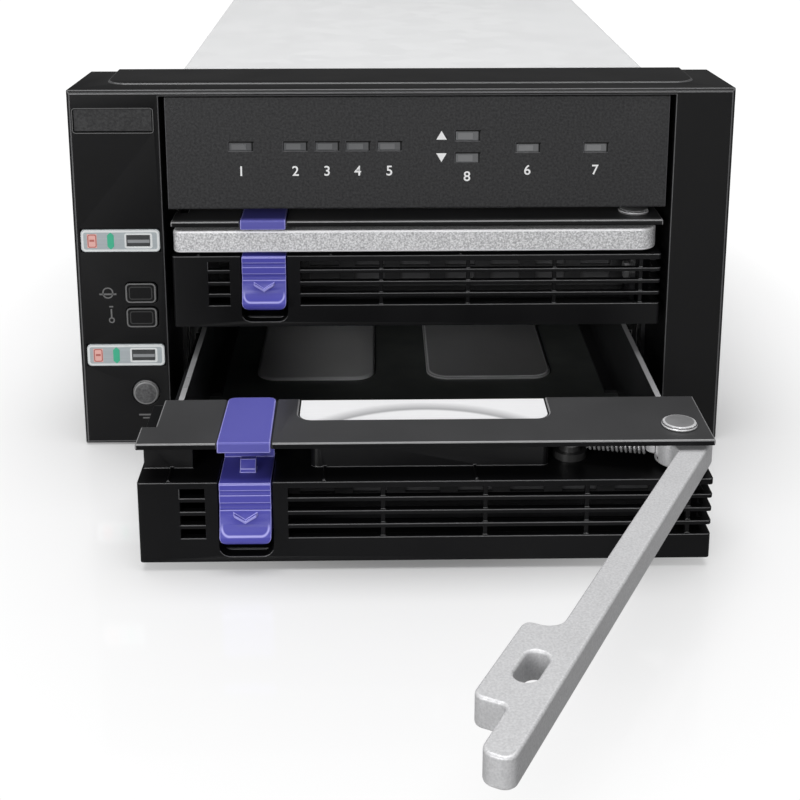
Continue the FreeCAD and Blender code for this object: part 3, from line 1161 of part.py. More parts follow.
def make_lever():
    """Die-cast lever, shut: bar, finger pad with the latch eye, boss and spring nose."""
    x0, x1 = LEVER_LEFT_GAP, TRAY_WIDTH - LEVER_RIGHT_GAP
    y0 = LEVER_FRONT_GAP
    y1 = y0 + LEVER_BAR
    tip, heel, boss = LEVER_TIP_RADIUS, LEVER_HEEL_RADIUS, LEVER_BOSS_RADIUS
    pad_x0, pad_x1 = LEVER_PAD
    pad_y = y0 + LEVER_PAD_DEPTH
    corner, flare, fillet = LEVER_PAD_CORNER, LEVER_PAD_FLARE, LEVER_PAD_FILLET
    outline = [(x0, y0 + tip), corner_arc((x0 + tip, y0 + tip), tip, 180, 270),
               (x1 - heel, y0), corner_arc((x1 - heel, y0 + heel), heel, -90, 0),
               (x1, PIN_FROM_FRONT), (PIN_X, PIN_FROM_FRONT + boss), (PIN_X - boss - tip, y1),
               (pad_x1 + flare, y1), corner_arc((pad_x1 + flare, y1 + flare), flare, 270, 180),
               (pad_x1, pad_y - corner), corner_arc((pad_x1 - corner, pad_y - corner), corner, 0, 90),
               (pad_x0 + corner, pad_y), corner_arc((pad_x0 + corner, pad_y - corner), corner, 90, 180),
               (pad_x0, y1 + fillet), corner_arc((pad_x0 - fillet, y1 + fillet), fillet, 0, -90),
               (x0 + tip, y1), corner_arc((x0 + tip, y1 - tip), tip, 90, 180)]
    bar = slab(outline, LEVER_HEIGHT, "Z", LEVER_BOTTOM)
    hub = rod((PIN_X, PIN_FROM_FRONT, LEVER_BOTTOM), boss, LEVER_HEIGHT)
    nose_x, nose_y = nose_place(0)
    nose = rod((nose_x, nose_y, LEVER_TOP - NOSE_HEIGHT), NOSE_RADIUS, NOSE_HEIGHT)
    eye_x, eye_y = LEVER_EYE_SET
    below = LEVER_BOTTOM - THROUGH
    eye = obround((LATCH_CENTRE + eye_x, y0 + eye_y, below), *LEVER_EYE, LEVER_HEIGHT + 2 * THROUGH)
    bore = rod((PIN_X, PIN_FROM_FRONT, below), PIN_RADIUS + PIN_FIT, LEVER_HEIGHT + 2 * THROUGH)
    return cut(fuse([bar, hub, nose]), [eye, bore])


def spring_sleeve(start, end, radius):
    """A close-wound coil as a plain sleeve one wire thick."""
    way = end - start
    sleeve = Part.makeCylinder(radius, way.Length, start, way)
    return sleeve.cut(Part.makeCylinder(radius - COIL_WIRE, way.Length, start, way))


def make_lever_spring(angle):
    """Pull spring from the post to the lever's nose, at the lever's rest angle."""
    z = LEVER_TOP - NOSE_HEIGHT / 2
    post = Vec(POST_PLACE[0], POST_PLACE[1], z)
    nose = Vec(*nose_place(angle), z)
    way = (nose - post).normalize()
    return spring_sleeve(post + way * (POST_RADIUS + COIL_GAP), nose - way * (NOSE_RADIUS + COIL_GAP),
                         COIL_RADIUS)


def make_latch():
    """Sliding catch: thumb face, guide flanges, back wall, block over the spring and tooth."""
    half = LATCH_WIDTH / 2
    top, bottom = LEDGE, LEDGE - LATCH_HEIGHT
    face = -LATCH_FACE
    rear = WELL_LIP - LATCH_SLIDE_GAP
    corner = LATCH_SLIDE_GAP
    profile = [(rear, top), (face + corner, top), (face, top - corner)]
    for drop, height, depth in LATCH_GROOVES:
        z = top - drop
        profile += [(face, z), ((face + depth, z - height / 2), (face, z - height))]
    belly_top = profile[-1][1][1]
    lip = top - THUMB_LIP_DROP
    profile += [((face - BELLY_BULGE, (belly_top + lip) / 2), (face - THUMB_LIP, lip)),
                ((face - THUMB_LIP, (lip + bottom) / 2), (face - LATCH_UNDERCUT, bottom)),
                (rear - WELL_LIP / 2, bottom), (rear, bottom + WELL_LIP / 2)]
    body = slab(profile, LATCH_WIDTH, "X", LATCH_CENTRE - half)
    keep = box(LATCH_CENTRE - half, LATCH_CENTRE + half, -2 * WELL_LIP, WELL_DEPTH, bottom, top)
    body = body.common(rounded(keep, LATCH_CORNER, (0, 1, 0), lambda c: c.z < bottom + SINK))
    thickness, flange_top, flange_foot = LATCH_FLANGE
    flange_half = WELL_INNER_WIDTH / 2 - LATCH_SLIDE_GAP
    y0 = WELL_LIP + LATCH_SLIDE_GAP
    flange = box(LATCH_CENTRE - flange_half, LATCH_CENTRE + flange_half, y0, y0 + thickness, top - flange_foot,
                 top - flange_top)
    neck = box(LATCH_CENTRE - half, LATCH_CENTRE + half, rear - SINK, y0 + SINK, top - flange_foot, top)
    y1 = WELL_DEPTH - LATCH_SLIDE_GAP
    block = box(LATCH_CENTRE - half, LATCH_CENTRE + half, y0, y1, top - LATCH_BLOCK_HEIGHT, top)
    back_top = BODY_TOP - LATCH_SLIDE_GAP
    back = box(LATCH_CENTRE - half, LATCH_CENTRE + half, y1 - LATCH_BACK, y1, top - SINK, back_top)
    window, tall = LATCH_BACK_WINDOW
    back = back.cut(box(LATCH_CENTRE - window / 2, LATCH_CENTRE + window / 2, y1 - 2 * LATCH_BACK, y1 + THROUGH,
                        back_top - tall, back_top + THROUGH))
    width, depth = TOOTH
    height = LATCH_TRAVEL - FIT
    tooth_y = LEVER_FRONT_GAP + LEVER_EYE_SET[1] - depth / 2
    tooth = slab([(tooth_y, top - SINK), (tooth_y + depth, top - SINK), (tooth_y + depth, top + height),
                  (tooth_y + depth / 2, top + height), (tooth_y, top + height / 3)], width, "X",
                 LATCH_CENTRE + LEVER_EYE_SET[0] - width / 2)
    across, drop, stroke = CHEVRON
    arm = across / 2
    brow = belly_top - stroke
    chevron = slab([(LATCH_CENTRE - arm, brow), (LATCH_CENTRE, brow - drop), (LATCH_CENTRE + arm, brow),
                    (LATCH_CENTRE + arm, brow - stroke), (LATCH_CENTRE, brow - drop - stroke),
                    (LATCH_CENTRE - arm, brow - stroke)], THUMB_LIP, "Y", face - 2 * BELLY_BULGE)
    return fuse([body, flange, neck, block, back, tooth, chevron])


def make_latch_spring():
    y = WELL_DEPTH - LATCH_COIL_RADIUS - 2 * COIL_GAP
    return spring_sleeve(Vec(LATCH_CENTRE, y, HEAD_SKIN), Vec(LATCH_CENTRE, y, LEDGE - LATCH_BLOCK_HEIGHT),
                         LATCH_COIL_RADIUS)


# ---- assembly ------------------------------------------------------------------------
def placed(shape, base_z, drawn, swing=0.0):
    """Copy a tray piece to its bay, swung about the lever's pin if asked."""
    piece = shape.copy()
    if swing:
        piece.rotate(Vec(PIN_X, PIN_FROM_FRONT, 0), Vec(0, 0, 1), swing)
    piece.translate(Vec(-TRAY_WIDTH / 2, FRONT - drawn, base_z))
    return piece


def save_tray(name, base_z, drawn, swing):
    save(name + "_tray_head", placed(make_tray_head(), base_z, drawn))
    save(name + "_tray_cover", placed(make_tray_cover(), base_z, drawn))
    save(name + "_latch_cap", placed(make_latch_cap(), base_z, drawn))
    save(name + "_cross_plate", placed(make_cross_plate(), base_z, drawn))
    save(name + "_tray_frame", placed(make_tray_frame(), base_z, drawn))
    save(name + "_frame_screws", *[placed(s, base_z, drawn) for s in make_frame_screws()])
    save(name + "_spring_post", placed(make_spring_post(), base_z, drawn))
    save(name + "_hinge_pin", placed(make_hinge_pin(), base_z, drawn))
    save(name + "_lever", placed(make_lever(), base_z, drawn, swing))
    save(name + "_lever_spring", placed(make_lever_spring(swing), base_z, drawn))
    save(name + "_latch", placed(make_latch(), base_z, drawn))
    save(name + "_latch_spring", placed(make_latch_spring(), base_z, drawn))


def main():
    os.makedirs("parts", exist_ok=True)
    save("bezel", make_bezel())
    save("badge_plate", make_badge_plate())
    save("status_strip_lower", make_status_strip(STRIP_CENTRES[0]))
    save("status_strip_upper", make_status_strip(STRIP_CENTRES[1]))
    save("status_lenses", *[make_status_lens(z) for z in STRIP_CENTRES])
    save("mute_button", make_rect_button(BUTTON_CENTRES[0]))
    save("info_button", make_rect_button(BUTTON_CENTRES[1]))
    save("round_button", make_round_button())
    save("front_board", *make_front_board())
    save("indicator_panel", make_indicator_panel())
    save("indicator_lenses", *make_indicator_lenses())
    save("chassis_shell", make_chassis_shell())
    save("chassis_floor", make_chassis_floor())
    save("bay_pads", *[pad_between(x0, x1) for x0, x1 in PAD_SPANS])
    save("mid_shelf", make_mid_shelf())
    save("controller_deck", make_controller_deck())
    save("guide_rails", *make_guide_rails())
    save("side_bracket_left", make_side_bracket(-1))
    save("side_bracket_right", make_side_bracket(1))
    save("bracket_screws", *make_bracket_screws())
    save("bezel_screws", *make_bezel_screws())
    save("rear_panel", make_rear_panel())
    save("fan_frame", make_fan_frame())
    save("fan_rotor", make_fan_rotor())
    save("fan_screws", *make_fan_screws())
    save("backplane_board", make_backplane())
    save("drive_sockets", *make_drive_sockets())
    save("controller_board", make_controller_board())
    save("controller_parts", *make_controller_parts())
    save("controller_screws", *make_controller_screws())
    save("host_port", make_port(HOST_PORT))
    save("power_port", make_port(POWER_PORT))
    save("dip_switch", make_dip_switch())
    save_tray("upper", UPPER_Z, 0.0, 0.0)
    save_tray("lower", LOWER_Z, TRAY_DRAWN, LEVER_OPEN_ANGLE)


main()
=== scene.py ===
"""Looks for the two-bay hot swap drive cage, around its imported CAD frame."""

import json
import math

import bpy
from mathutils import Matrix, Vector

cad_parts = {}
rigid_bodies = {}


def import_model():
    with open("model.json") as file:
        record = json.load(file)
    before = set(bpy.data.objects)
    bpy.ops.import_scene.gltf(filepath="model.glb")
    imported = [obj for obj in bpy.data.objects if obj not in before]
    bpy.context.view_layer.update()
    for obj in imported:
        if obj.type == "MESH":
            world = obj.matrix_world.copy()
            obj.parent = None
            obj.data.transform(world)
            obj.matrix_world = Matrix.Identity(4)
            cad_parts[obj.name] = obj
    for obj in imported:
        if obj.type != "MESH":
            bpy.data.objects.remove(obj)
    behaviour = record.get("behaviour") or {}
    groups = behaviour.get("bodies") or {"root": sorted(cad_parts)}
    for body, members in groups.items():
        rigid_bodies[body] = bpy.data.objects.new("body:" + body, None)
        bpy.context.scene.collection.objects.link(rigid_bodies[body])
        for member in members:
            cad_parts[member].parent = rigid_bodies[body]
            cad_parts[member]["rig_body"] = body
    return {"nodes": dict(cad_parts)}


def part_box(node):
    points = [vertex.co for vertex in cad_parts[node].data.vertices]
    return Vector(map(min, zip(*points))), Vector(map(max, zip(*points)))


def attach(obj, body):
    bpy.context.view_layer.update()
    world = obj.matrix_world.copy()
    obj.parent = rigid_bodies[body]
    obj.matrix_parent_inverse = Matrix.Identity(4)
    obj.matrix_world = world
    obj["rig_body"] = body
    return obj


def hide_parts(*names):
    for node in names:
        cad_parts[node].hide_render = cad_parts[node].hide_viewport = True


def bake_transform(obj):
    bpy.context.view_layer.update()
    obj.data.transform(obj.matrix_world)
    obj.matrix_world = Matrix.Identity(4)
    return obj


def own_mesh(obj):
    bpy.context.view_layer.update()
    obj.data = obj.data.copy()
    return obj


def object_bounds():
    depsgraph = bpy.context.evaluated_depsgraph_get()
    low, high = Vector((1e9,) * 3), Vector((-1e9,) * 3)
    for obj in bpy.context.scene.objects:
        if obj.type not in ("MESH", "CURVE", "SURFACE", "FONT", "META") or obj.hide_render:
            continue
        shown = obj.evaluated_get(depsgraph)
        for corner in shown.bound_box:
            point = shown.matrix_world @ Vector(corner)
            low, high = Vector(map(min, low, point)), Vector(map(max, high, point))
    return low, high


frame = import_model()
CAD_BOX = [list(corner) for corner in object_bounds()]

MM = 0.001
TRAYS = ("upper", "lower")
WELD = 0.01                     # vertices this close are one
FLAT = 0.6                      # facets that meet at less than these degrees are one face
SHARP = 32.0                    # faces that meet at more than these degrees have an edge


# ---- places read from the frame -------------------------------------------------
def middle_of(node):
    low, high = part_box(node)
    return (Vector(low) + Vector(high)) / 2


BEZEL_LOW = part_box("bezel")[0]
PANEL_LOW, PANEL_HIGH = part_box("indicator_panel")
SHELL_LOW, SHELL_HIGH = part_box("chassis_shell")


# ---- selection and mesh helpers ---------------------------------------------------
def clear_selection():
    if bpy.context.object and bpy.context.object.mode != "OBJECT":
        bpy.ops.object.mode_set(mode="OBJECT")
    bpy.ops.object.select_all(action="DESELECT")


def make_active(piece):
    clear_selection()
    piece.select_set(True)
    bpy.context.view_layer.objects.active = piece


def settle(piece):
    """Moves the piece's place into its mesh, so its object sits at the origin."""
    make_active(piece)
    bpy.ops.object.transform_apply(location=True, rotation=True, scale=True)
    return piece


def apply_modifiers(piece):
    make_active(piece)
    for modifier in list(piece.modifiers):
        bpy.ops.object.modifier_apply(modifier=modifier.name)


def dress(piece, name, materials, body, replaced=()):
    """Names a finished piece and hangs it on its body; it gets these materials if it has no slots yet."""
    piece.name = name
    if not isinstance(materials, (list, tuple)):
        materials = [materials]
    if len(piece.data.materials) != len(materials):
        piece.data.materials.clear()
        for material in materials:
            piece.data.materials.append(material)
    if body:
        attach(piece, body)
    if replaced:
        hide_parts(*replaced)
    return piece


def body_of_node(node):
    return frame["nodes"][node]["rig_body"]


def merged_copy(node, suffix, materials):
    """A copy of a CAD piece whose facets are joined, for a finish of its own."""
    piece = bpy.data.objects.new(node + suffix, frame["nodes"][node].data.copy())
    bpy.context.scene.collection.objects.link(piece)
    piece.data.materials.clear()
    for material in materials:
        piece.data.materials.append(material)
    make_active(piece)
    bpy.ops.object.mode_set(mode="EDIT")
    bpy.ops.mesh.select_all(action="SELECT")
    bpy.ops.mesh.remove_doubles(threshold=WELD * MM)
    bpy.ops.mesh.dissolve_limited(angle_limit=math.radians(FLAT))
    bpy.ops.mesh.normals_make_consistent(inside=False)
    bpy.ops.object.mode_set(mode="OBJECT")
    bpy.ops.object.shade_smooth_by_angle(angle=math.radians(SHARP))
    return piece


def softened(node, material, edge, width, segments=2):
    """A moulded or cast piece, its sharp edges broken, with a painted highlight in the edge tone on the
    bevels.
    """
    piece = merged_copy(node, "_finished", (material, edge))
    bevel = piece.modifiers.new("edge_break", "BEVEL")
    bevel.width = width * MM
    bevel.segments = segments
    bevel.limit_method = "ANGLE"
    bevel.angle_limit = math.radians(SHARP)
    bevel.use_clamp_overlap = False
    bevel.harden_normals = True
    bevel.material = 1
    apply_modifiers(piece)
    return dress(piece, piece.name, [material, edge], body_of_node(node), [node])


def parted(node, material, inner, is_inner):
    """A sheet piece whose inner faces have a finish of their own."""
    piece = merged_copy(node, "_parted", (material, inner))
    for face in piece.data.polygons:
        face.material_index = 1 if is_inner(face.center, face.normal) else 0
    return dress(piece, piece.name, [material, inner], body_of_node(node), [node])


def paint_node(node, material):
    """Gives a CAD node its material and leaves its mesh alone."""
    piece = frame["nodes"][node]
    piece.data.materials.clear()
    piece.data.materials.append(material)


# ---- shader groups -------------------------------------------------------------------
NOISE_SPAN = (0.3, 0.7)         # most of a noise's values lie between these
PIT_SPAN = (0.35, 0.65)         # the same for the finer grain
STAIN_SCALE = 45.0
SPANGLE_SCALE = 160.0
SPANGLE_SHARE = 0.25            # how much of the sheet's tone is spangle, the rest being patches
SHEET_GRAIN, SHEET_PATCH = 1500.0, 14.0
SHEET_DEPTH = 0.002
BOARD_DARK, BOARD_LIGHT = (0.010, 0.080, 0.038), (0.020, 0.150, 0.070)
TRACK_SCALE, TRACK_GAP = 220.0, 0.05
TRACK_DEPTH = 0.03


def new_group(name, inputs, outputs):
    group = bpy.data.node_groups.new(name, "ShaderNodeTree")
    for label, kind, value in inputs:
        socket = group.interface.new_socket(label, in_out="INPUT", socket_type=kind)
        socket.default_value = value
    for label, kind in outputs:
        group.interface.new_socket(label, in_out="OUTPUT", socket_type=kind)
    return group, group.nodes.new("NodeGroupInput"), group.nodes.new("NodeGroupOutput")


def object_coordinates(tree):
    return tree.nodes.new("ShaderNodeTexCoord").outputs["Object"]


def noise(tree, vector, scale, detail=3.0, roughness=0.55):
    node = tree.nodes.new("ShaderNodeTexNoise")
    tree.links.new(vector, node.inputs["Vector"])
    if isinstance(scale, (int, float)):
        node.inputs["Scale"].default_value = scale
    else:
        tree.links.new(scale, node.inputs["Scale"])
    node.inputs["Detail"].default_value = detail
    node.inputs["Roughness"].default_value = roughness
    return node.outputs["Fac"]


def arithmetic(tree, operation, a, b=0.0):
    node = tree.nodes.new("ShaderNodeMath")
    node.operation = operation
    for socket, value in zip(node.inputs, (a, b)):
        if isinstance(value, (int, float)):
            socket.default_value = value
        else:
            tree.links.new(value, socket)
    return node.outputs[0]


def vector_math(tree, operation, vector, other=None):
    node = tree.nodes.new("ShaderNodeVectorMath")
    node.operation = operation
    tree.links.new(vector, node.inputs[0])
    if other:
        node.inputs[1].default_value = other
    return node


def stretched(tree, value, low, high, to_low, to_high):
    node = tree.nodes.new("ShaderNodeMapRange")
    tree.links.new(value, node.inputs["Value"])
    for label, number in (("From Min", low), ("From Max", high), ("To Min", to_low), ("To Max", to_high)):
        node.inputs[label].default_value = number
    return node.outputs["Result"]


def fading(tree, value, start, fade):
    """1 up to fade[0] mm past the start, 0 from fade[1] mm past it."""
    return stretched(tree, value, start + fade[0] * MM, start + fade[1] * MM, 1.0, 0.0)


def mixed(tree, factor, a, b):
    node = tree.nodes.new("ShaderNodeMix")
    node.data_type = "RGBA"
    tree.links.new(factor, node.inputs["Factor"])
    for socket, value in ((node.inputs[6], a), (node.inputs[7], b)):
        if isinstance(value, (tuple, list)):
            socket.default_value = (*value, 1.0)
        else:
            tree.links.new(value, socket)
    return node.outputs[2]


def bumped(tree, height, distance):
    node = tree.nodes.new("ShaderNodeBump")
    node.inputs["Strength"].default_value = 1.0
    node.inputs["Distance"].default_value = distance
    tree.links.new(height, node.inputs["Height"])
    return node.outputs["Normal"]


def build_grain_group():
    """Fine spark-eroded grain: a height for bump, and a slow patchiness."""
    group, source, sink = new_group("moulded_grain", [("Grain Scale", "NodeSocketFloat", 2600.0),
                                                      ("Patch Scale", "NodeSocketFloat", 60.0)],
                                    [("Height", "NodeSocketFloat"), ("Patch", "NodeSocketFloat")])
    place = object_coordinates(group)
    fine = noise(group, place, source.outputs["Grain Scale"], 4.0, 0.6)
    patch = noise(group, place, source.outputs["Patch Scale"], 2.0)
    group.links.new(fine, sink.inputs["Height"])
    group.links.new(patch, sink.inputs["Patch"])
    return group


def build_brush_group():
    """Drawn or brushed lines along X, and broad stain."""
    group, source, sink = new_group("brushed_lines", [("Along", "NodeSocketFloat", 40.0),
                                                      ("Across", "NodeSocketFloat", 3200.0)],
                                    [("Lines", "NodeSocketFloat"), ("Stain", "NodeSocketFloat")])
    place = object_coordinates(group)
    split = group.nodes.new("ShaderNodeSeparateXYZ")
    group.links.new(place, split.inputs[0])
    join = group.nodes.new("ShaderNodeCombineXYZ")
    group.links.new(arithmetic(group, "MULTIPLY", split.outputs[0], source.outputs["Along"]), join.inputs[0])
    group.links.new(arithmetic(group, "MULTIPLY", split.outputs[1], source.outputs["Across"]), join.inputs[1])
    group.links.new(arithmetic(group, "MULTIPLY", split.outputs[2], source.outputs["Across"]), join.inputs[2])
    lines = noise(group, join.outputs[0], 1.0, 3.0, 0.6)
    stain = noise(group, place, STAIN_SCALE, 2.0)
    group.links.new(lines, sink.inputs["Lines"])
    group.links.new(stain, sink.inputs["Stain"])
    return group


GRAIN = build_grain_group()
BRUSH = build_brush_group()


def place_group(tree, group, **values):
    node = tree.nodes.new("ShaderNodeGroup")
    node.node_tree = group
    for label, value in values.items():
        node.inputs[label.replace("_", " ")].default_value = value
    return node


def new_material(name, viewport):
    material = bpy.data.materials.new(name)
    material.use_nodes = True
    material.diffuse_color = (*viewport, 1.0)
    shader = material.node_tree.nodes["Principled BSDF"]
    return material, material.node_tree, shader


def moulded(name, dark, light, roughness, grain_scale, grain_depth, specular, coat=0.0):
    """Moulded plastic: two close tones and grain bump."""
    material, tree, shader = new_material(name, light)
    grain = place_group(tree, GRAIN, Grain_Scale=grain_scale)
    tone = mixed(tree, grain.outputs["Patch"], dark, light)
    tree.links.new(tone, shader.inputs["Base Color"])
    rough = stretched(tree, grain.outputs["Patch"], *NOISE_SPAN, roughness - 0.03, roughness + 0.04)
    tree.links.new(rough, shader.inputs["Roughness"])
    tree.links.new(bumped(tree, grain.outputs["Height"], grain_depth * MM), shader.inputs["Normal"])
    shader.inputs["Specular IOR Level"].default_value = specular
    shader.inputs["Coat Weight"].default_value = coat
    return material


def brushed_metal(name, dark, light, roughness, depth, along, across, metallic):
    """Sheet or wire with fine drawn lines, and patches of stain that change its shine."""
    material, tree, shader = new_material(name, light)
    lines = place_group(tree, BRUSH, Along=along, Across=across)
    tone = mixed(tree, lines.outputs["Lines"], dark, light)
    tree.links.new(tone, shader.inputs["Base Color"])
    shader.inputs["Metallic"].default_value = metallic
    rough = stretched(tree, lines.outputs["Stain"], *NOISE_SPAN, roughness - 0.05, roughness + 0.06)
    tree.links.new(rough, shader.inputs["Roughness"])
    tree.links.new(bumped(tree, lines.outputs["Lines"], depth * MM), shader.inputs["Normal"])
    return material


def pebbled(name, dark, light, roughness, scale, depth, metallic, specular=0.5):
    """Blasted or leathery surface: even fine pits whose tone follows their depth."""
    material, tree, shader = new_material(name, light)
    grain = place_group(tree, GRAIN, Grain_Scale=scale, Patch_Scale=90.0)
    tone = stretched(tree, grain.outputs["Height"], *PIT_SPAN, 0.0, 1.0)
    tree.links.new(mixed(tree, tone, dark, light), shader.inputs["Base Color"])
    shader.inputs["Metallic"].default_value = metallic
    shader.inputs["Specular IOR Level"].default_value = specular
    rough = stretched(tree, grain.outputs["Patch"], *NOISE_SPAN, roughness - 0.04, roughness + 0.04)
    tree.links.new(rough, shader.inputs["Roughness"])
    tree.links.new(bumped(tree, grain.outputs["Height"], depth * MM), shader.inputs["Normal"])
    return material


def painted_sheet(name, dark, light, roughness, metallic):
    """Galvanised or powder-coated sheet with faint spangle."""
    material, tree, shader = new_material(name, light)
    place = object_coordinates(tree)
    spangle = tree.nodes.new("ShaderNodeTexVoronoi")
    spangle.inputs["Scale"].default_value = SPANGLE_SCALE
    tree.links.new(place, spangle.inputs["Vector"])
    split = tree.nodes.new("ShaderNodeSeparateColor")
    tree.links.new(spangle.outputs["Color"], split.inputs[0])
    grain = place_group(tree, GRAIN, Grain_Scale=SHEET_GRAIN, Patch_Scale=SHEET_PATCH)
    spangled = arithmetic(tree, "MULTIPLY", split.outputs[0], SPANGLE_SHARE)
    patched = arithmetic(tree, "MULTIPLY", grain.outputs["Patch"], 1.0 - SPANGLE_SHARE)
    amount = arithmetic(tree, "ADD", spangled, patched)
    tree.links.new(mixed(tree, amount, dark, light), shader.inputs["Base Color"])
    shader.inputs["Metallic"].default_value = metallic
    rough = stretched(tree, split.outputs[0], 0.0, 1.0, roughness - 0.03, roughness + 0.03)
    tree.links.new(rough, shader.inputs["Roughness"])
    tree.links.new(bumped(tree, grain.outputs["Height"], SHEET_DEPTH * MM), shader.inputs["Normal"])
    return material


def circuit_board(name):
    """Green solder mask with faint raised tracks."""
    material, tree, shader = new_material(name, (0.02, 0.12, 0.05))
    place = object_coordinates(tree)
    bricks = tree.nodes.new("ShaderNodeTexBrick")
    bricks.inputs["Scale"].default_value = TRACK_SCALE
    bricks.inputs["Mortar Size"].default_value = TRACK_GAP
    tree.links.new(place, bricks.inputs["Vector"])
    tree.links.new(mixed(tree, bricks.outputs["Fac"], BOARD_DARK, BOARD_LIGHT), shader.inputs["Base Color"])
    rough = stretched(tree, noise(tree, place, 300.0), *NOISE_SPAN, 0.3, 0.45)
    tree.links.new(rough, shader.inputs["Roughness"])
    tree.links.new(bumped(tree, bricks.outputs["Fac"], TRACK_DEPTH * MM), shader.inputs["Normal"])
    return material


def varied(name, base):
    """A copy of a material to build on, with its node tree, shader and present tone."""
    material = base.copy()
    material.name = name
    tree = material.node_tree
    shader = tree.nodes["Principled BSDF"]
    return material, tree, shader, shader.inputs["Base Color"].links[0].from_socket


# the shaded rim of the finger scoop
SCOOP_TONE = (0.42, 0.42, 0.43)
SCOOP_SHADE = 3.4               # the shade fades over this, outwards
SCOOP_INSIDE = 0.85             # and over this, inwards
# a painted highlight along the U shaped crest of the latch's thumb lip
CREST_HIGHLIGHT_TONE = (0.36, 0.35, 0.74)
CREST_HEIGHT = 2.1              # above the latch's foot
CREST_HALF = 4.55
CREST_CORNER = 1.5
CREST_LINE = (0.08, 0.30)       # half the line's width, whole and faded
CREST_ENDS = (1.2, 2.4)         # its arms fade between these heights above the crest
CREST_DEPTH = (1.0, 1.4)        # it is on the faces this close to the front


def scooped_sheet(name, base, centre, radius):
    """The bright sheet's look, shaded along the rim of its finger scoop."""
    material, tree, shader, tone = varied(name, base)
    offset = vector_math(tree, "SUBTRACT", object_coordinates(tree), (centre.x, centre.y, 0.0))
    flat = vector_math(tree, "MULTIPLY", offset.outputs["Vector"], (1.0, 1.0, 0.0))
    reach = vector_math(tree, "LENGTH", flat.outputs["Vector"]).outputs["Value"]
    rim = fading(tree, reach, radius, (0.0, SCOOP_SHADE))
    inside = stretched(tree, reach, radius - SCOOP_INSIDE * MM, radius, 0.0, 1.0)
    amount = arithmetic(tree, "MULTIPLY", rim, inside)
    tree.links.new(mixed(tree, amount, tone, SCOOP_TONE), shader.inputs["Base Color"])
    return material


def latch_with_crest_highlight(name, base, low, high):
    """The latch's plastic, with a painted highlight along the U shaped crest of its thumb lip."""
    material, tree, shader, tone = varied(name, base)
    axes = tree.nodes.new("ShaderNodeSeparateXYZ")
    tree.links.new(object_coordinates(tree), axes.inputs[0])
    crest = low.z + CREST_HEIGHT * MM
    corner = CREST_CORNER * MM
    legs = []
    for axis, centre, half in (("X", (low.x + high.x) / 2, CREST_HALF * MM), ("Z", high.z, high.z - crest)):
        apart = arithmetic(tree, "SUBTRACT", axes.outputs[axis], centre)
        past = arithmetic(tree, "SUBTRACT", arithmetic(tree, "ABSOLUTE", apart), half - corner)
        legs.append(arithmetic(tree, "POWER", arithmetic(tree, "MAXIMUM", past), 2.0))
    reach = arithmetic(tree, "SQRT", arithmetic(tree, "ADD", *legs))
    away = arithmetic(tree, "ABSOLUTE", arithmetic(tree, "SUBTRACT", reach, corner))
    line = fading(tree, away, 0.0, CREST_LINE)
    ends = fading(tree, axes.outputs["Z"], crest, CREST_ENDS)
    front = fading(tree, axes.outputs["Y"], low.y, CREST_DEPTH)
    amount = arithmetic(tree, "MULTIPLY", arithmetic(tree, "MULTIPLY", line, ends), front)
    tree.links.new(mixed(tree, amount, tone, CREST_HIGHLIGHT_TONE), shader.inputs["Base Color"])
    return material
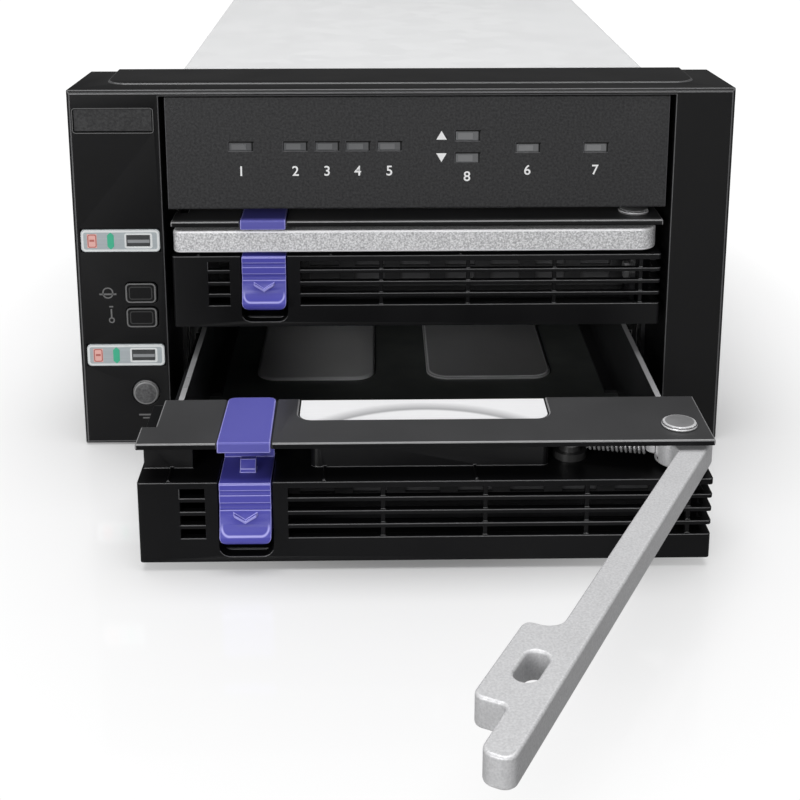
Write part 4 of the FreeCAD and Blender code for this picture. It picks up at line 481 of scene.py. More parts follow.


# ---- finishes ------------------------------------------------------------------------
# tones named for an edge are painted highlights, laid on the bevels of broken edges
# dark tone, light tone, roughness, grain scale, grain depth (mm), specular level, coat
MOULDED = {
    "bezel_black": ((0.0032, 0.0032, 0.0036), (0.0052, 0.0052, 0.0056), 0.4, 2400.0, 0.012, 0.15),
    "bezel_edge_highlight": ((0.065, 0.065, 0.067), (0.10, 0.10, 0.103), 0.3, 2400.0, 0.006, 0.5),
    "panel_edge_highlight": ((0.05, 0.05, 0.053), (0.08, 0.08, 0.085), 0.35, 1900.0, 0.01, 0.4),
    "tray_black": ((0.0035, 0.0035, 0.004), (0.006, 0.006, 0.0065), 0.35, 2600.0, 0.006, 0.12),
    "tray_edge_highlight": ((0.065, 0.065, 0.067), (0.10, 0.10, 0.103), 0.28, 2600.0, 0.004, 0.5),
    "cover_black": ((0.034, 0.034, 0.035), (0.052, 0.052, 0.054), 0.42, 2600.0, 0.006, 0.25),
    "cover_edge_highlight": ((0.17, 0.17, 0.173), (0.26, 0.26, 0.263), 0.3, 2600.0, 0.004, 0.4),
    "violet": ((0.080, 0.078, 0.35), (0.105, 0.102, 0.41), 0.36, 2000.0, 0.003, 0.45),
    "latch_violet": ((0.054, 0.052, 0.33), (0.073, 0.070, 0.40), 0.36, 2000.0, 0.003, 0.45),
    "violet_edge_highlight": ((0.26, 0.25, 0.62), (0.34, 0.33, 0.72), 0.3, 2000.0, 0.003, 0.5),
    "guide_black": ((0.006, 0.006, 0.006), (0.012, 0.012, 0.012), 0.15, 2000.0, 0.004, 0.5),
    "guide_edge_highlight": ((0.30, 0.30, 0.30), (0.45, 0.45, 0.45), 0.25, 2000.0, 0.004, 0.5),
    "fan_black": ((0.008, 0.008, 0.008), (0.014, 0.014, 0.014), 0.4, 2200.0, 0.01, 0.5),
    "socket_black": ((0.005, 0.005, 0.005), (0.01, 0.01, 0.01), 0.35, 2200.0, 0.006, 0.5),
    "chip_black": ((0.01, 0.01, 0.01), (0.018, 0.018, 0.018), 0.5, 2800.0, 0.01, 0.5),
    "switch_blue": ((0.02, 0.05, 0.25), (0.03, 0.07, 0.32), 0.35, 2200.0, 0.004, 0.5),
    "button_edge_highlight": ((0.16, 0.16, 0.16), (0.24, 0.24, 0.24), 0.35, 2600.0, 0.006, 0.5),
    "pad_grey": ((0.30, 0.30, 0.305), (0.38, 0.38, 0.385), 0.5, 1500.0, 0.01, 0.3),
    "pad_pale": ((0.62, 0.62, 0.63), (0.74, 0.74, 0.75), 0.5, 1500.0, 0.01, 0.3),
    "pad_edge_highlight": ((0.62, 0.62, 0.63), (0.76, 0.76, 0.77), 0.4, 1500.0, 0.006, 0.4),
    "smoked_lens": ((0.075, 0.077, 0.08), (0.11, 0.112, 0.116), 0.28, 1200.0, 0.004, 0.4, 0.3),
    "strip_lens": ((0.03, 0.032, 0.034), (0.05, 0.053, 0.055), 0.25, 1200.0, 0.004, 0.5, 0.3),
    "lens_middle_highlight": ((0.115, 0.117, 0.12), (0.165, 0.168, 0.172), 0.28, 1200.0, 0.004, 0.4, 0.3),
    "shadow_ink": ((0.002, 0.002, 0.002), (0.005, 0.005, 0.005), 0.5, 3000.0, 0.004, 0.2),
    "lens_glint": ((0.22, 0.23, 0.24), (0.34, 0.35, 0.36), 0.25, 1200.0, 0.004, 0.5, 0.3),
    "strip_rim": ((0.66, 0.68, 0.68), (0.78, 0.80, 0.80), 0.35, 2000.0, 0.003, 0.5),
    "white_ink": ((0.74, 0.74, 0.74), (0.86, 0.86, 0.86), 0.5, 3000.0, 0.004, 0.3),
    # this grey serves printed marks and the painted highlight round the badge
    "grey_ink": ((0.11, 0.11, 0.11), (0.16, 0.16, 0.16), 0.5, 3000.0, 0.004, 0.3),
    "dim_ink": ((0.03, 0.03, 0.03), (0.045, 0.045, 0.045), 0.5, 3000.0, 0.004, 0.3),
    "pink_ink": ((0.72, 0.38, 0.34), (0.82, 0.48, 0.44), 0.5, 3000.0, 0.004, 0.3),
    "red_ink": ((0.42, 0.12, 0.10), (0.52, 0.16, 0.14), 0.5, 3000.0, 0.004, 0.3),
    "green_ink": ((0.04, 0.38, 0.22), (0.08, 0.50, 0.32), 0.5, 3000.0, 0.004, 0.3),
    "inner_sheet": ((0.014, 0.014, 0.015), (0.042, 0.042, 0.044), 0.2, 90.0, 0.3, 0.5),
    "floor_sheet": ((0.085, 0.092, 0.088), (0.17, 0.18, 0.175), 0.22, 90.0, 0.2, 0.5),
    "rail_black": ((0.012, 0.012, 0.013), (0.03, 0.03, 0.032), 0.2, 90.0, 0.2, 0.5),
    "dark_backing_sheet": ((0.05, 0.05, 0.052), (0.08, 0.08, 0.083), 0.3, 400.0, 0.01, 0.5),
}
# the levers' edge tones are painted highlights on their bevelled edges
# dark tone, light tone, roughness, pit scale, pit depth (mm), metallic, specular level
PEBBLED = {
    "badge": ((0.014, 0.014, 0.015), (0.040, 0.040, 0.041), 0.5, 1800.0, 0.04, 0.0, 0.3),
    "panel_charcoal": ((0.014, 0.014, 0.015), (0.036, 0.036, 0.0375), 0.5, 1800.0, 0.06, 0.0, 0.3),
    "button_black": ((0.05, 0.05, 0.052), (0.11, 0.11, 0.112), 0.4, 1900.0, 0.03, 0.0, 0.4),
    "lever_cast": ((0.54, 0.54, 0.55), (0.67, 0.67, 0.68), 0.5, 2600.0, 0.03, 0.25),
    "lever_rough": ((0.34, 0.34, 0.35), (0.82, 0.82, 0.83), 0.5, 2300.0, 0.05, 0.2),
    "lever_cast_edge": ((0.56, 0.56, 0.57), (0.74, 0.74, 0.75), 0.45, 2600.0, 0.02, 0.25),
    "lever_edge": ((0.78, 0.78, 0.79), (0.92, 0.92, 0.93), 0.4, 2600.0, 0.015, 0.2),
}
# the hinge pin's edge tone is a painted highlight on its rim
# dark tone, light tone, roughness, line depth (mm), scale along, scale across, metallic
BRUSHED = {
    "strip_metal": ((0.34, 0.38, 0.40), (0.46, 0.50, 0.52), 0.38, 0.004, 40.0, 3200.0, 0.2),
    "bright_sheet": ((0.86, 0.86, 0.87), (0.95, 0.95, 0.96), 0.33, 0.003, 60.0, 1800.0, 0.1),
    "shaded_sheet": ((0.02, 0.02, 0.021), (0.05, 0.05, 0.052), 0.35, 0.003, 60.0, 1800.0, 0.3),
    "screw_steel": ((0.45, 0.45, 0.46), (0.65, 0.65, 0.66), 0.3, 0.003, 300.0, 300.0, 0.7),
    "pin_steel": ((0.26, 0.26, 0.265), (0.36, 0.36, 0.365), 0.34, 0.002, 500.0, 500.0, 0.4),
    "pin_edge_highlight": ((0.62, 0.62, 0.63), (0.80, 0.80, 0.81), 0.25, 0.002, 500.0, 500.0, 0.3),
    "spring_steel": ((0.30, 0.30, 0.305), (0.44, 0.44, 0.445), 0.28, 0.002, 500.0, 500.0, 0.4),
    "post_steel": ((0.06, 0.06, 0.06), (0.12, 0.12, 0.12), 0.35, 0.002, 500.0, 500.0, 0.8),
    "rail_edge": ((0.22, 0.22, 0.225), (0.34, 0.34, 0.345), 0.3, 0.004, 40.0, 3200.0, 0.3),
}
MATERIALS = {"cage_sheet": painted_sheet("cage_sheet", (0.78, 0.785, 0.79), (0.84, 0.845, 0.85), 0.42, 0.05),
             "board_green": circuit_board("board_green")}
for finish, look in MOULDED.items():
    MATERIALS[finish] = moulded(finish, *look)
for finish, look in PEBBLED.items():
    MATERIALS[finish] = pebbled(finish, *look)
for finish, look in BRUSHED.items():
    MATERIALS[finish] = brushed_metal(finish, *look)


# ---- CAD pieces that only take a finish -------------------------------------------------
NODE_FINISH = {
    "chassis_floor": "floor_sheet", "mid_shelf": "inner_sheet", "controller_deck": "cage_sheet",
    "side_bracket_left": "cage_sheet", "side_bracket_right": "cage_sheet", "rear_panel": "cage_sheet",
    "bracket_screws": "screw_steel", "bezel_screws": "screw_steel", "fan_screws": "screw_steel",
    "controller_screws": "screw_steel", "fan_frame": "fan_black", "fan_rotor": "fan_black",
    "front_board": "board_green", "backplane_board": "board_green", "controller_board": "board_green",
    "controller_parts": "chip_black", "drive_sockets": "socket_black", "host_port": "socket_black",
    "power_port": "socket_black", "dip_switch": "switch_blue", "mute_button": "bezel_black",
    "info_button": "bezel_black", "status_lenses": "strip_lens", "indicator_lenses": "smoked_lens",
}
TRAY_FINISH = {
    "frame_screws": "screw_steel", "spring_post": "post_steel",
    "lever_spring": "spring_steel", "latch_spring": "spring_steel",
}
for node, finish in NODE_FINISH.items():
    paint_node(node, MATERIALS[finish])
for side in TRAYS:
    for piece, finish in TRAY_FINISH.items():
        paint_node(side + "_" + piece, MATERIALS[finish])


# ---- moulded and cast pieces with broken edges and painted edge highlights -----------
POCKET_MARGIN = 0.8             # edges this close to a pocket are as dark as its piece
POCKETS = ("status_strip_lower", "status_strip_upper", "mute_button", "info_button", "round_button",
           "badge_plate")
# node: finish, tone of its edges (a painted highlight where it is paler), edge width
EDGED = {
    "bezel": ("bezel_black", "bezel_edge_highlight", 0.2),
    "indicator_panel": ("panel_charcoal", "panel_edge_highlight", 0.2),
    "badge_plate": ("badge", "badge", 0.12),
    "guide_rails": ("guide_black", "guide_edge_highlight", 0.2),
    "round_button": ("button_black", "button_edge_highlight", 0.2),
    "bay_pads": ("pad_grey", "pad_edge_highlight", 0.25),
    "status_strip_lower": ("strip_metal", "strip_rim", 0.08),
    "status_strip_upper": ("strip_metal", "strip_rim", 0.08),
}
# each lever's base tone, and the painted highlight on its edges
LEVER_FINISH = {"upper": ("lever_rough", "lever_edge"), "lower": ("lever_cast", "lever_cast_edge")}
CHEVRON_CORNERS = 6             # corners of the arrow mark's flat top


def finish_piece(node, finish, edge, width, segments=2):
    return softened(node, MATERIALS[finish], MATERIALS[edge], width, segments)


def brighten_left(pads):
    """The left pad catches more light than the right one."""
    middle = middle_of("bay_pads").x
    pads.data.materials.append(MATERIALS["pad_pale"])
    for face in pads.data.polygons:
        if face.material_index == 0 and face.center.x < middle:
            face.material_index = 2


def darken_front(cover):
    """The cover's front and underside take the tray's darker black as painted shade; its front edge takes the
    painted highlight.
    """
    cover.data.materials.append(MATERIALS["tray_black"])
    for face in cover.data.polygons:
        if face.normal.z < -0.3 or face.normal.y < -0.95:
            face.material_index = 2
        elif face.normal.y < -0.2:
            face.material_index = 1


def brighten_chevron(latch):
    """The flat top of the arrow mark on the latch's face takes the edge tone, a painted highlight."""
    for face in latch.data.polygons:
        if len(face.vertices) == CHEVRON_CORNERS and face.normal.y < -0.999:
            face.material_index = 1


def quiet_edges(piece, pockets):
    """Leaves the edges of these pockets without the painted highlight, as dark as the piece they are in."""
    margin = POCKET_MARGIN * MM
    boxes = [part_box(node) for node in pockets]
    for face in piece.data.polygons:
        x, z = face.center.x, face.center.z
        for low, high in boxes:
            if low.x - margin < x < high.x + margin and low.z - margin < z < high.z + margin:
                face.material_index = 0


def quiet_uprights(head):
    """Only the edges along the slats keep the painted highlight, neither the upright ones nor those facing
    down.
    """
    for face in head.data.polygons:
        if abs(face.normal.x) > 0.35 or face.normal.z < -0.2:
            face.material_index = 0


def finish_tray_front(side):
    """Head, cover, hinge pin, latch and lever of one tray."""
    quiet_uprights(finish_piece(side + "_tray_head", "tray_black", "tray_edge_highlight", 0.14))
    cover = finish_piece(side + "_tray_cover", "cover_black", "cover_edge_highlight", 0.3)
    darken_front(cover)
    quiet_edges(cover, (side + "_latch_cap",))
    finish_piece(side + "_hinge_pin", "pin_steel", "pin_edge_highlight", 0.3)
    finish_piece(side + "_latch_cap", "violet", "violet_edge_highlight", 0.25, 3)
    crest_highlighted = latch_with_crest_highlight(side + "_latch_violet", MATERIALS["latch_violet"], *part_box(side + "_latch"))
    brighten_chevron(softened(side + "_latch", crest_highlighted, MATERIALS["violet_edge_highlight"], 0.14))
    finish_piece(side + "_lever", *LEVER_FINISH[side], 0.5, 3)


finished = {node: finish_piece(node, *look) for node, look in EDGED.items()}
quiet_edges(finished["bezel"], POCKETS)
brighten_left(finished["bay_pads"])
for side in TRAYS:
    finish_tray_front(side)


# ---- sheet pieces that are dark inside -------------------------------------------------
SHEET_REACH = 0.75              # the shell's inner faces are further in than this
FLANGE_REACH = 1.6              # the cross plate's flange is within this of its top
RAIL_REACH = 0.3                # the side rails' paler top faces are within this of their top
SCOOP_ARC = 30.4                # radius of the scoop's rim
SCOOP_REACH = 5.4               # the rim's top, behind the notch's front
NOTCH_DEPTH = 10.3              # the notch in the cover's rear edge
BACKING_SIDES = 1.0              # the dark sheet behind the web stays this far inside its ends,
BACKING_FOOT = 0.3               # this far above its foot
BACKING_DROP = 10.0              # and this far below the flange's top
BACKING_GAP, BACKING_WALL = 0.02, 0.10


def inside_shell(centre, normal):
    reach = SHEET_REACH * MM
    return (normal.y < 0.9 and centre.z < SHELL_HIGH.z - reach
            and SHELL_LOW.x + reach < centre.x < SHELL_HIGH.x - reach)


def finish_cross_plate(side):
    """A bright flange with a finger scoop, over a web painted dark as painted shade, with a dark sheet behind
    it.
    """
    plate = side + "_cross_plate"
    low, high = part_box(plate)

    def under_flange(centre, normal):
        return centre.z < high.z - FLANGE_REACH * MM or normal.z < 0.3

    notch_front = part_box(side + "_tray_cover")[1].y - NOTCH_DEPTH * MM
    arc_centre = Vector(((low.x + high.x) / 2, notch_front + (SCOOP_REACH - SCOOP_ARC) * MM, 0.0))
    flange = scooped_sheet(side + "_scooped_sheet", MATERIALS["bright_sheet"], arc_centre, SCOOP_ARC * MM)
    parted(plate, flange, MATERIALS["shaded_sheet"], under_flange)


def finish_tray_frame(side):
    """Dark side rails whose top faces take a paler tone."""
    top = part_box(side + "_tray_frame")[1].z

    def along_top(centre, normal):
        return normal.z > 0.8 and centre.z > top - RAIL_REACH * MM

    parted(side + "_tray_frame", MATERIALS["rail_black"], MATERIALS["rail_edge"], along_top)


def back_web(side):
    """A thin dark sheet behind the cross plate's web, which keeps the lit floor from showing through it."""
    plate = side + "_cross_plate"
    low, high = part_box(plate)
    near, far = high.y + BACKING_GAP * MM, high.y + (BACKING_GAP + BACKING_WALL) * MM
    backing_low = Vector((low.x + BACKING_SIDES * MM, near, low.z + BACKING_FOOT * MM))
    backing_high = Vector((high.x - BACKING_SIDES * MM, far, high.z - BACKING_DROP * MM))
    clear_selection()
    bpy.ops.mesh.primitive_cube_add(size=1.0)
    backing = bpy.context.object
    backing.location = (backing_low + backing_high) / 2
    backing.scale = backing_high - backing_low
    settle(backing)
    dress(backing, side + "_web_dark_backing", MATERIALS["dark_backing_sheet"], body_of_node(plate))


parted("chassis_shell", MATERIALS["cage_sheet"], MATERIALS["inner_sheet"], inside_shell)
for side in TRAYS:
    finish_cross_plate(side)
    finish_tray_frame(side)
    back_web(side)


# ---- coil springs ----------------------------------------------------------------------
WIRE = 0.28                     # radius of the wire
WIRE_SIDES = 10
COIL_STEPS = 20                 # facets in a turn
LOOP_STEPS = 28
LEVER_COIL, LEVER_TURNS = 1.2, 13       # radius of the winding, and its turns
LATCH_COIL, LATCH_TURNS = 1.3, 6
POST_NECK = 2.2                 # radius of the post where the lever's coil hooks on it
COIL_DROP = 1.2                 # the coil hooks low on the lever's nose


def coil(name, start, end, radius, turns, node, body, loops=()):
    """A wound spring between two points, with a closed loop round each post it hooks on."""
    way = end - start
    clear_selection()
    bpy.ops.mesh.primitive_circle_add(vertices=WIRE_SIDES, radius=WIRE * MM, location=(radius * MM, 0, 0),
                                      rotation=(math.radians(90), 0, 0))
    piece = settle(bpy.context.object)
    screw = piece.modifiers.new("winding", "SCREW")
    screw.axis = "Z"
    screw.angle = math.radians(360)
    screw.screw_offset = way.length / turns
    screw.iterations = turns
    screw.steps = COIL_STEPS
    screw.render_steps = COIL_STEPS
    screw.use_smooth_shade = True
    apply_modifiers(piece)
    piece.rotation_mode = "QUATERNION"
    piece.rotation_quaternion = Vector((0, 0, 1)).rotation_difference(way)
    piece.location = start
    settle(piece)
    parts = [piece]
    for centre, loop_radius in loops:
        clear_selection()
        bpy.ops.mesh.primitive_torus_add(location=centre, major_radius=loop_radius * MM,
                                         minor_radius=WIRE * MM, major_segments=LOOP_STEPS,
                                         minor_segments=WIRE_SIDES)
        parts.append(settle(bpy.context.object))
    clear_selection()
    for part in parts:
        part.select_set(True)
    bpy.context.view_layer.objects.active = piece
    bpy.ops.object.join()
    bpy.ops.object.mode_set(mode="EDIT")
    bpy.ops.mesh.select_all(action="SELECT")
    bpy.ops.mesh.normals_make_consistent(inside=False)
    bpy.ops.object.mode_set(mode="OBJECT")
    bpy.ops.object.shade_smooth()
    return dress(piece, name, MATERIALS["spring_steel"], body, [node])


def hang_lever_coil(side):
    """Pulls between the post on the tray and the lever's nose."""
    node = side + "_lever_spring"
    post_low, post_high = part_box(side + "_spring_post")
    middle, post = middle_of(node), middle_of(side + "_spring_post")
    middle.z -= COIL_DROP * MM
    post.z = middle.z
    reach = middle - post
    far = middle + reach - reach.normalized() * (post_high.x - post_low.x) / 2
    near = middle - (far - middle)
    piece = coil(side + "_lever_coil", near, far, LEVER_COIL, LEVER_TURNS, node, None,
                 [(post, POST_NECK + WIRE)])
    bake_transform(piece)


def stand_latch_coil(side):
    """Stands under the latch, on the latch spring's body."""
    node = side + "_latch_spring"
    low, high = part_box(node)
    foot, head = middle_of(node), middle_of(node)
    foot.z, head.z = low.z + WIRE * MM, high.z - WIRE * MM
    piece = coil(side + "_latch_coil", foot, head, LATCH_COIL, LATCH_TURNS, node, body_of_node(node))
    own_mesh(piece)


for side in TRAYS:
    hang_lever_coil(side)
    stand_latch_coil(side)


# ---- printed marks, painted shadows and painted highlights ------------------------------
MARK_LIFT = 0.03 * MM
RING_STEPS = 5                  # facets in a ring mark's corner
NUMBER_WEIGHT = 0.012           # how far a number's strokes are widened, as a share of its size


def into_mark(piece, name, ink, body):
    settle(piece)
    return dress(piece, name, MATERIALS[ink], body)


def upright_plane(x, z, y, width, height, turn=0.0):
    """A rectangle that looks to the front, just before a face at y, turned in its own plane."""
    clear_selection()
    bpy.ops.mesh.primitive_plane_add(size=1.0, location=(x * MM, y - MARK_LIFT, z * MM),
                                     rotation=(math.radians(90), math.radians(turn), 0))
    piece = bpy.context.object
    piece.scale = (width * MM, height * MM, 1.0)
    return piece


def plate_mark(name, x, z, y, width, height, ink, body="cage", slot="bezel_plastic", turn=0.0):
    """A small rectangle laid on a face: a printed mark, and on a status strip's lens a painted glint."""
    return into_mark(upright_plane(x, z, y, width, height, turn), name, ink, body)


def plates_mark(name, plates, y, ink):
    """Several upright rectangles (x, z, width, height) in one piece."""
    corners, faces = [], []
    for x, z, width, height in plates:
        first = len(corners)
        for across, up in ((-0.5, -0.5), (0.5, -0.5), (0.5, 0.5), (-0.5, 0.5)):
            corners.append(((x + across * width) * MM, y - MARK_LIFT, (z + up * height) * MM))
        faces.append(tuple(range(first, first + 4)))
    mesh = bpy.data.meshes.new(name)
    mesh.from_pydata(corners, [], faces)
    piece = bpy.data.objects.new(name, mesh)
    bpy.context.scene.collection.objects.link(piece)
    return into_mark(piece, name, ink, "cage")


def ring_mark(name, x, z, y, width, height, corner, stroke, ink, body="cage", slot="bezel_plastic"):
    """An outline with rounded corners laid on a face: a printed mark, and round the badge a painted
    highlight.
    """
    piece = settle(upright_plane(x, z, y, width, height))
    bpy.ops.object.mode_set(mode="EDIT")
    bpy.ops.mesh.select_all(action="SELECT")
    bpy.ops.mesh.bevel(offset=corner * MM, segments=RING_STEPS, affect="VERTICES")
    bpy.ops.mesh.select_all(action="SELECT")
    bpy.ops.mesh.inset(thickness=stroke * MM)
    bpy.ops.mesh.delete(type="FACE")
    bpy.ops.object.mode_set(mode="OBJECT")
    return dress(piece, name, MATERIALS[ink], body)


def triangle_print(name, x, z, y, radius, upward):
    """A small white triangle on the indicator panel."""
    clear_selection()
    bpy.ops.mesh.primitive_circle_add(vertices=3, radius=radius * MM, fill_type="NGON",
                                      location=(x * MM, y - MARK_LIFT, z * MM),
                                      rotation=(math.radians(90), 0.0 if upward else math.radians(180), 0))
    return into_mark(bpy.context.object, name, "white_ink", "cage")


def number_print(name, text, x, z, y, size):
    """A plain number printed on the indicator panel."""
    clear_selection()
    bpy.ops.object.text_add(location=(x * MM, y - MARK_LIFT, z * MM), rotation=(math.radians(90), 0, 0))
    piece = bpy.context.object
    piece.data.body = text
    piece.data.size = size * MM
    piece.data.align_x = "CENTER"
    piece.data.align_y = "CENTER"
    piece.data.offset = size * NUMBER_WEIGHT * MM
    make_active(piece)
    bpy.ops.object.convert(target="MESH")
    return into_mark(bpy.context.object, name, "white_ink", "cage")


# the panel's LED windows: x, and height as a share of the panel's
LEDS = ((-39.7, 0.562), (-27.5, 0.562), (-20.4, 0.562), (-13.5, 0.562), (-6.4, 0.562),
        (24.7, 0.542), (40.0, 0.542))
FAULT_LEDS = ((11.1, 0.65), (11.1, 0.454))
LED_SIZE = (5.2, 2.05)
FAULT_LED_SIZE = (5.3, 2.3)
LED_SUNK = 0.15                 # the lenses behind the panel's face
SHADE = 0.36                    # width of the shadow under a window's upper and right edges
CORE_SHARE = 0.62               # the painted highlight in the middle of a lens,
CORE_LEFT, CORE_DOWN = 0.08, 0.05       # and how far it is off the window's middle, as shares
NUMBER_SIZE = 3.2
NUMBER_RISE = 8.8               # the numbers' middle above the panel's foot
FAULT_NUMBER = (11.1, 7.4)      # x and rise of the fault windows' number
FAULT_MARK_X = 5.3
FAULT_MARK_RISES = {"up": 16.7, "down": 12.2}
FAULT_MARK_RADIUS = 1.35


def mark_panel():
    """Numbers under the LED windows, marks by the fault windows, and painted shadows and painted highlights
    that give the windows depth.
    """
    front, foot = PANEL_LOW.y, PANEL_LOW.z / MM
    tall = PANEL_HIGH.z / MM - foot
    for index, (x, rise) in enumerate(LEDS):
        number_print("led_number_%d" % (index + 1), str(index + 1), x, foot + NUMBER_RISE, front, NUMBER_SIZE)
    for way, rise in FAULT_MARK_RISES.items():
        triangle_print("fault_mark_" + way, FAULT_MARK_X, foot + rise, front, FAULT_MARK_RADIUS, way == "up")
    number_print("led_number_8", "8", FAULT_NUMBER[0], foot + FAULT_NUMBER[1], front, NUMBER_SIZE)
    windows = [(x, foot + tall * rise, *LED_SIZE) for x, rise in LEDS]
    windows += [(x, foot + tall * rise, *FAULT_LED_SIZE) for x, rise in FAULT_LEDS]
    tops = [(x + SHADE / 2, z + high / 2, wide + SHADE, SHADE) for x, z, wide, high in windows]
    sides = [(x + wide / 2, z, SHADE, high) for x, z, wide, high in windows]
    plates_mark("led_shadows", tops + sides, front, "shadow_ink")
    core_highlights = [(x - CORE_LEFT * wide, z - CORE_DOWN * high, CORE_SHARE * wide, CORE_SHARE * high)
             for x, z, wide, high in windows]
    plates_mark("led_core_highlights", core_highlights, front + LED_SUNK * MM, "lens_middle_highlight")


# rings on a rectangular button: width, height, corner, stroke, ink
BUTTON_RINGS = {"_outline": (6.9, 4.7, 1.0, 0.34, "grey_ink"), "_inner": (5.3, 3.1, 0.6, 0.22, "dim_ink")}
# marks beside a button: x and z from its middle, width, height, and for a ring its corner and stroke
BUTTON_MARKS = {
    "bell_bar": ("mute_button", -7.5, -0.3, 3.9, 0.4),
    "bell_mark": ("mute_button", -7.5, 0.0, 2.5, 2.7, 1.2, 0.3),
    "key_mark": ("info_button", -6.9, -0.65, 1.4, 1.4, 0.65, 0.3),
    "key_stem": ("info_button", -6.9, 1.05, 0.35, 2.0),
    "key_tip": ("info_button", -6.9, 2.65, 0.9, 0.35),
    "round_mark": ("round_button", 0.0, -5.6, 3.8, 0.4),
    "round_mark_low": ("round_button", 0.0, -6.4, 2.0, 0.35),
}


def mark_buttons():
    """Rings on the two rectangular buttons, and plain marks beside all three."""
    for button in ("mute_button", "info_button"):
        spot = middle_of(button) / MM
        for ending, ring in BUTTON_RINGS.items():
            ring_mark(button + ending, spot.x, spot.z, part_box(button)[0].y, *ring, button)
    for name, (button, x, z, *size) in BUTTON_MARKS.items():
        spot = middle_of(button) / MM
        print_mark = ring_mark if len(size) > 2 else plate_mark
        print_mark(name, spot.x + x, spot.z + z, BEZEL_LOW.y, *size, "grey_ink")


# places on a status strip, from its left end
DRIVE_MARK = 2.5
LINK_MARK = 6.7
LENS_CENTRE = 13.0
STRIP_INSET = 0.3               # the border's outline, smaller than the strip by this
LINK_TIP = 1.3                  # the link sign's two points, from its middle
LINK_TIP_SIDE = 1.06
POINTED = 45.0                  # a square turned so that a corner is its tip


def mark_strip(name):
    """Border, lens and two plain signs on one status strip."""
    strip = "status_strip_" + name
    low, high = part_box(strip)
    front, over = low.y, low.y - MARK_LIFT
    left, z = low.x / MM, middle_of(strip).z / MM
    size = (high - low) / MM
    ring_mark(name + "_strip_border", middle_of(strip).x / MM, z, front, size.x - STRIP_INSET,
               size.z - STRIP_INSET, 0.9, 0.45, "strip_rim", slot="strip_metal")
    lens, drive, link = left + LENS_CENTRE, left + DRIVE_MARK, left + LINK_MARK
    ring_mark(name + "_lens_border", lens, z, front, 6.3, 3.6, 0.5, 0.42, "strip_rim", slot="strip_metal")
    plate_mark(name + "_lens_glint", lens, z - 0.1, front, 5.0, 0.75, "lens_glint", slot="smoked_lens")
    plate_mark(name + "_drive_mark", drive, z, front, 2.2, 3.3, "pink_ink", slot="strip_metal")
    plate_mark(name + "_drive_bar", drive, z + 0.1, over, 1.1, 0.5, "red_ink", slot="strip_metal")
    ring_mark(name + "_drive_ring", drive, z, over, 2.0, 3.1, 0.5, 0.22, "red_ink", slot="strip_metal")
    plate_mark(name + "_link_mark", link, z, front, 1.5, 2.6, "green_ink", slot="strip_metal")
    for ending, rise in (("_link_head", LINK_TIP), ("_link_foot", -LINK_TIP)):
        plate_mark(name + ending, link, z + rise, over, LINK_TIP_SIDE, LINK_TIP_SIDE, "green_ink",
                    slot="strip_metal", turn=POINTED)


BADGE_HIGHLIGHT_GROWTH = 0.7               # the painted highlight round the badge is larger than the badge by this
BADGE_HIGHLIGHT_DROP = 0.1


def mark_badge():
    """A thin ring on the bezel round the bare badge plate, a painted highlight on the lip of its recess."""
    low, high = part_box("badge_plate")
    spot, size = middle_of("badge_plate") / MM, (high - low) / MM
    ring_mark("badge_rim_highlight", spot.x, spot.z - BADGE_HIGHLIGHT_DROP, BEZEL_LOW.y, size.x + BADGE_HIGHLIGHT_GROWTH,
               size.z + BADGE_HIGHLIGHT_GROWTH, 0.7, 0.14, "grey_ink")


mark_panel()
mark_buttons()
for name in ("lower", "upper"):
    mark_strip(name)
mark_badge()


# ---- stage, light and camera -----------------------------------------------------------
ROOM_LEVEL = 0.18               # what the white room gives the part, as a share of what the camera sees
FLOOR_SIZE = 8.0
FLOOR_DROP = 0.0002             # the floor lies just under the part
FLOOR_TONE = (0.76, 0.76, 0.765)
FLOOR_CENTRE = (0.0, -0.0325, 0.0)      # the shaded oval reaches a little past the tray and the rear
FLOOR_OVAL = (1.1, 0.65, 0.0)
FLOOR_NEAR, FLOOR_FAR = 0.085, 0.14
FLOOR_GLOW = 0.09               # the floor's own light near the part
FLOOR_ROUGHNESS = 0.08
# place, aim, width, height, watts
LAMPS = {
    "top_softbox": ((0.0, -0.05, 0.95), (0.0, -0.02, 0.05), 0.9, 0.8, 8.8),
    "front_softbox": ((-0.6, -1.0, 0.30), (0.0, -0.05, 0.04), 0.6, 0.4, 6.8),
    "low_fill": ((0.3, -1.2, 0.22), (0.0, 0.05, 0.04), 0.5, 0.3, 2.5),
}
CAMERA_PLACE = (-0.00969, -0.30660, 0.14561)    # x from the cage's middle, y from the bezel's front
CAMERA_DOWN = 14.10
CAMERA_RIGHT = 1.06
CAMERA_LENS = 63.41
CAMERA_SHIFT = -0.3


def seen_directly(tree, otherwise):
    """1 for the camera's own rays, a lower level for the light that reaches the part."""
    path = tree.nodes.new("ShaderNodeLightPath")
    return stretched(tree, path.outputs["Is Camera Ray"], 0.0, 1.0, otherwise, 1.0)


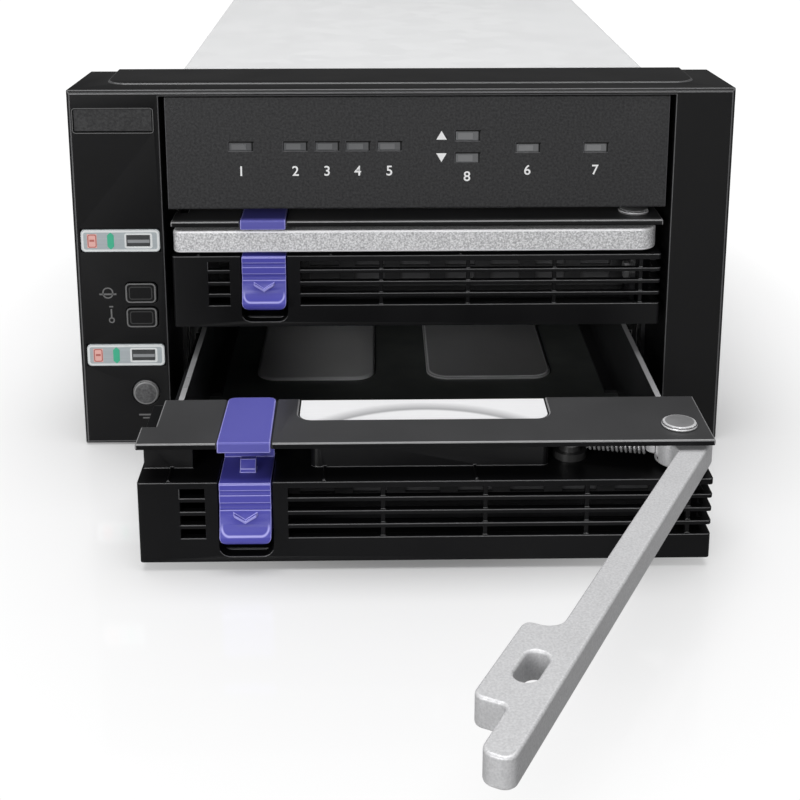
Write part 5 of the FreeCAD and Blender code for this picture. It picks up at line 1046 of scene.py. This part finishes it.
def build_stage():
    """Pale floor that fades to an even white away from the part."""
    clear_selection()
    bpy.ops.mesh.primitive_plane_add(size=FLOOR_SIZE, location=(0, 0, CAD_BOX[0][2] - FLOOR_DROP))
    floor = bpy.context.object
    floor.name = "studio_floor"
    material, tree, shader = new_material("studio_floor", FLOOR_TONE)
    place = tree.nodes.new("ShaderNodeMapping")
    place.inputs["Location"].default_value = FLOOR_CENTRE
    place.inputs["Scale"].default_value = FLOOR_OVAL
    tree.links.new(object_coordinates(tree), place.inputs["Vector"])
    distance = vector_math(tree, "LENGTH", place.outputs["Vector"]).outputs["Value"]
    glow = stretched(tree, distance, FLOOR_NEAR, FLOOR_FAR, FLOOR_GLOW, 1.0)
    body = stretched(tree, distance, FLOOR_NEAR, FLOOR_FAR, 0.0, 1.0)
    tree.links.new(mixed(tree, body, FLOOR_TONE, (0.0, 0.0, 0.0)), shader.inputs["Base Color"])
    shader.inputs["Emission Color"].default_value = (1.0, 1.0, 1.0, 1.0)
    strength = arithmetic(tree, "MULTIPLY", glow, seen_directly(tree, ROOM_LEVEL))
    tree.links.new(strength, shader.inputs["Emission Strength"])
    shader.inputs["Roughness"].default_value = FLOOR_ROUGHNESS
    shader.inputs["Specular IOR Level"].default_value = 0.5
    floor.data.materials.append(material)


def hang_lamp(name, place, aim, width, height, watts):
    """A soft box that looks at its aim."""
    data = bpy.data.lights.new(name, "AREA")
    data.energy = watts
    data.shape = "RECTANGLE"
    data.size = width
    data.size_y = height
    lamp = bpy.data.objects.new(name, data)
    bpy.context.scene.collection.objects.link(lamp)
    lamp.location = place
    lamp.rotation_euler = (Vector(aim) - Vector(place)).to_track_quat("-Z", "Y").to_euler()


def build_light():
    """Dim room with a white backdrop for the camera, and soft boxes above and in front."""
    world = bpy.data.worlds.new("studio")
    bpy.context.scene.world = world
    world.use_nodes = True
    tree = world.node_tree
    background = tree.nodes["Background"]
    background.inputs["Color"].default_value = (1.0, 1.0, 1.0, 1.0)
    tree.links.new(seen_directly(tree, ROOM_LEVEL), background.inputs["Strength"])
    for name, lamp in LAMPS.items():
        hang_lamp(name, *lamp)


def build_camera():
    """In front of the bezel, above it and a little to the left, looking down."""
    data = bpy.data.cameras.new("camera")
    camera = bpy.data.objects.new("camera", data)
    bpy.context.scene.collection.objects.link(camera)
    camera.location = (CAMERA_PLACE[0], BEZEL_LOW.y + CAMERA_PLACE[1], CAMERA_PLACE[2])
    camera.rotation_euler = (math.radians(90 - CAMERA_DOWN), 0.0, math.radians(-CAMERA_RIGHT))
    data.sensor_width = 36.0
    data.lens = CAMERA_LENS
    data.shift_y = CAMERA_SHIFT
    data.clip_start = 0.01
    bpy.context.scene.camera = camera


build_stage()
build_light()
build_camera()
bpy.context.scene.view_settings.view_transform = "Standard"
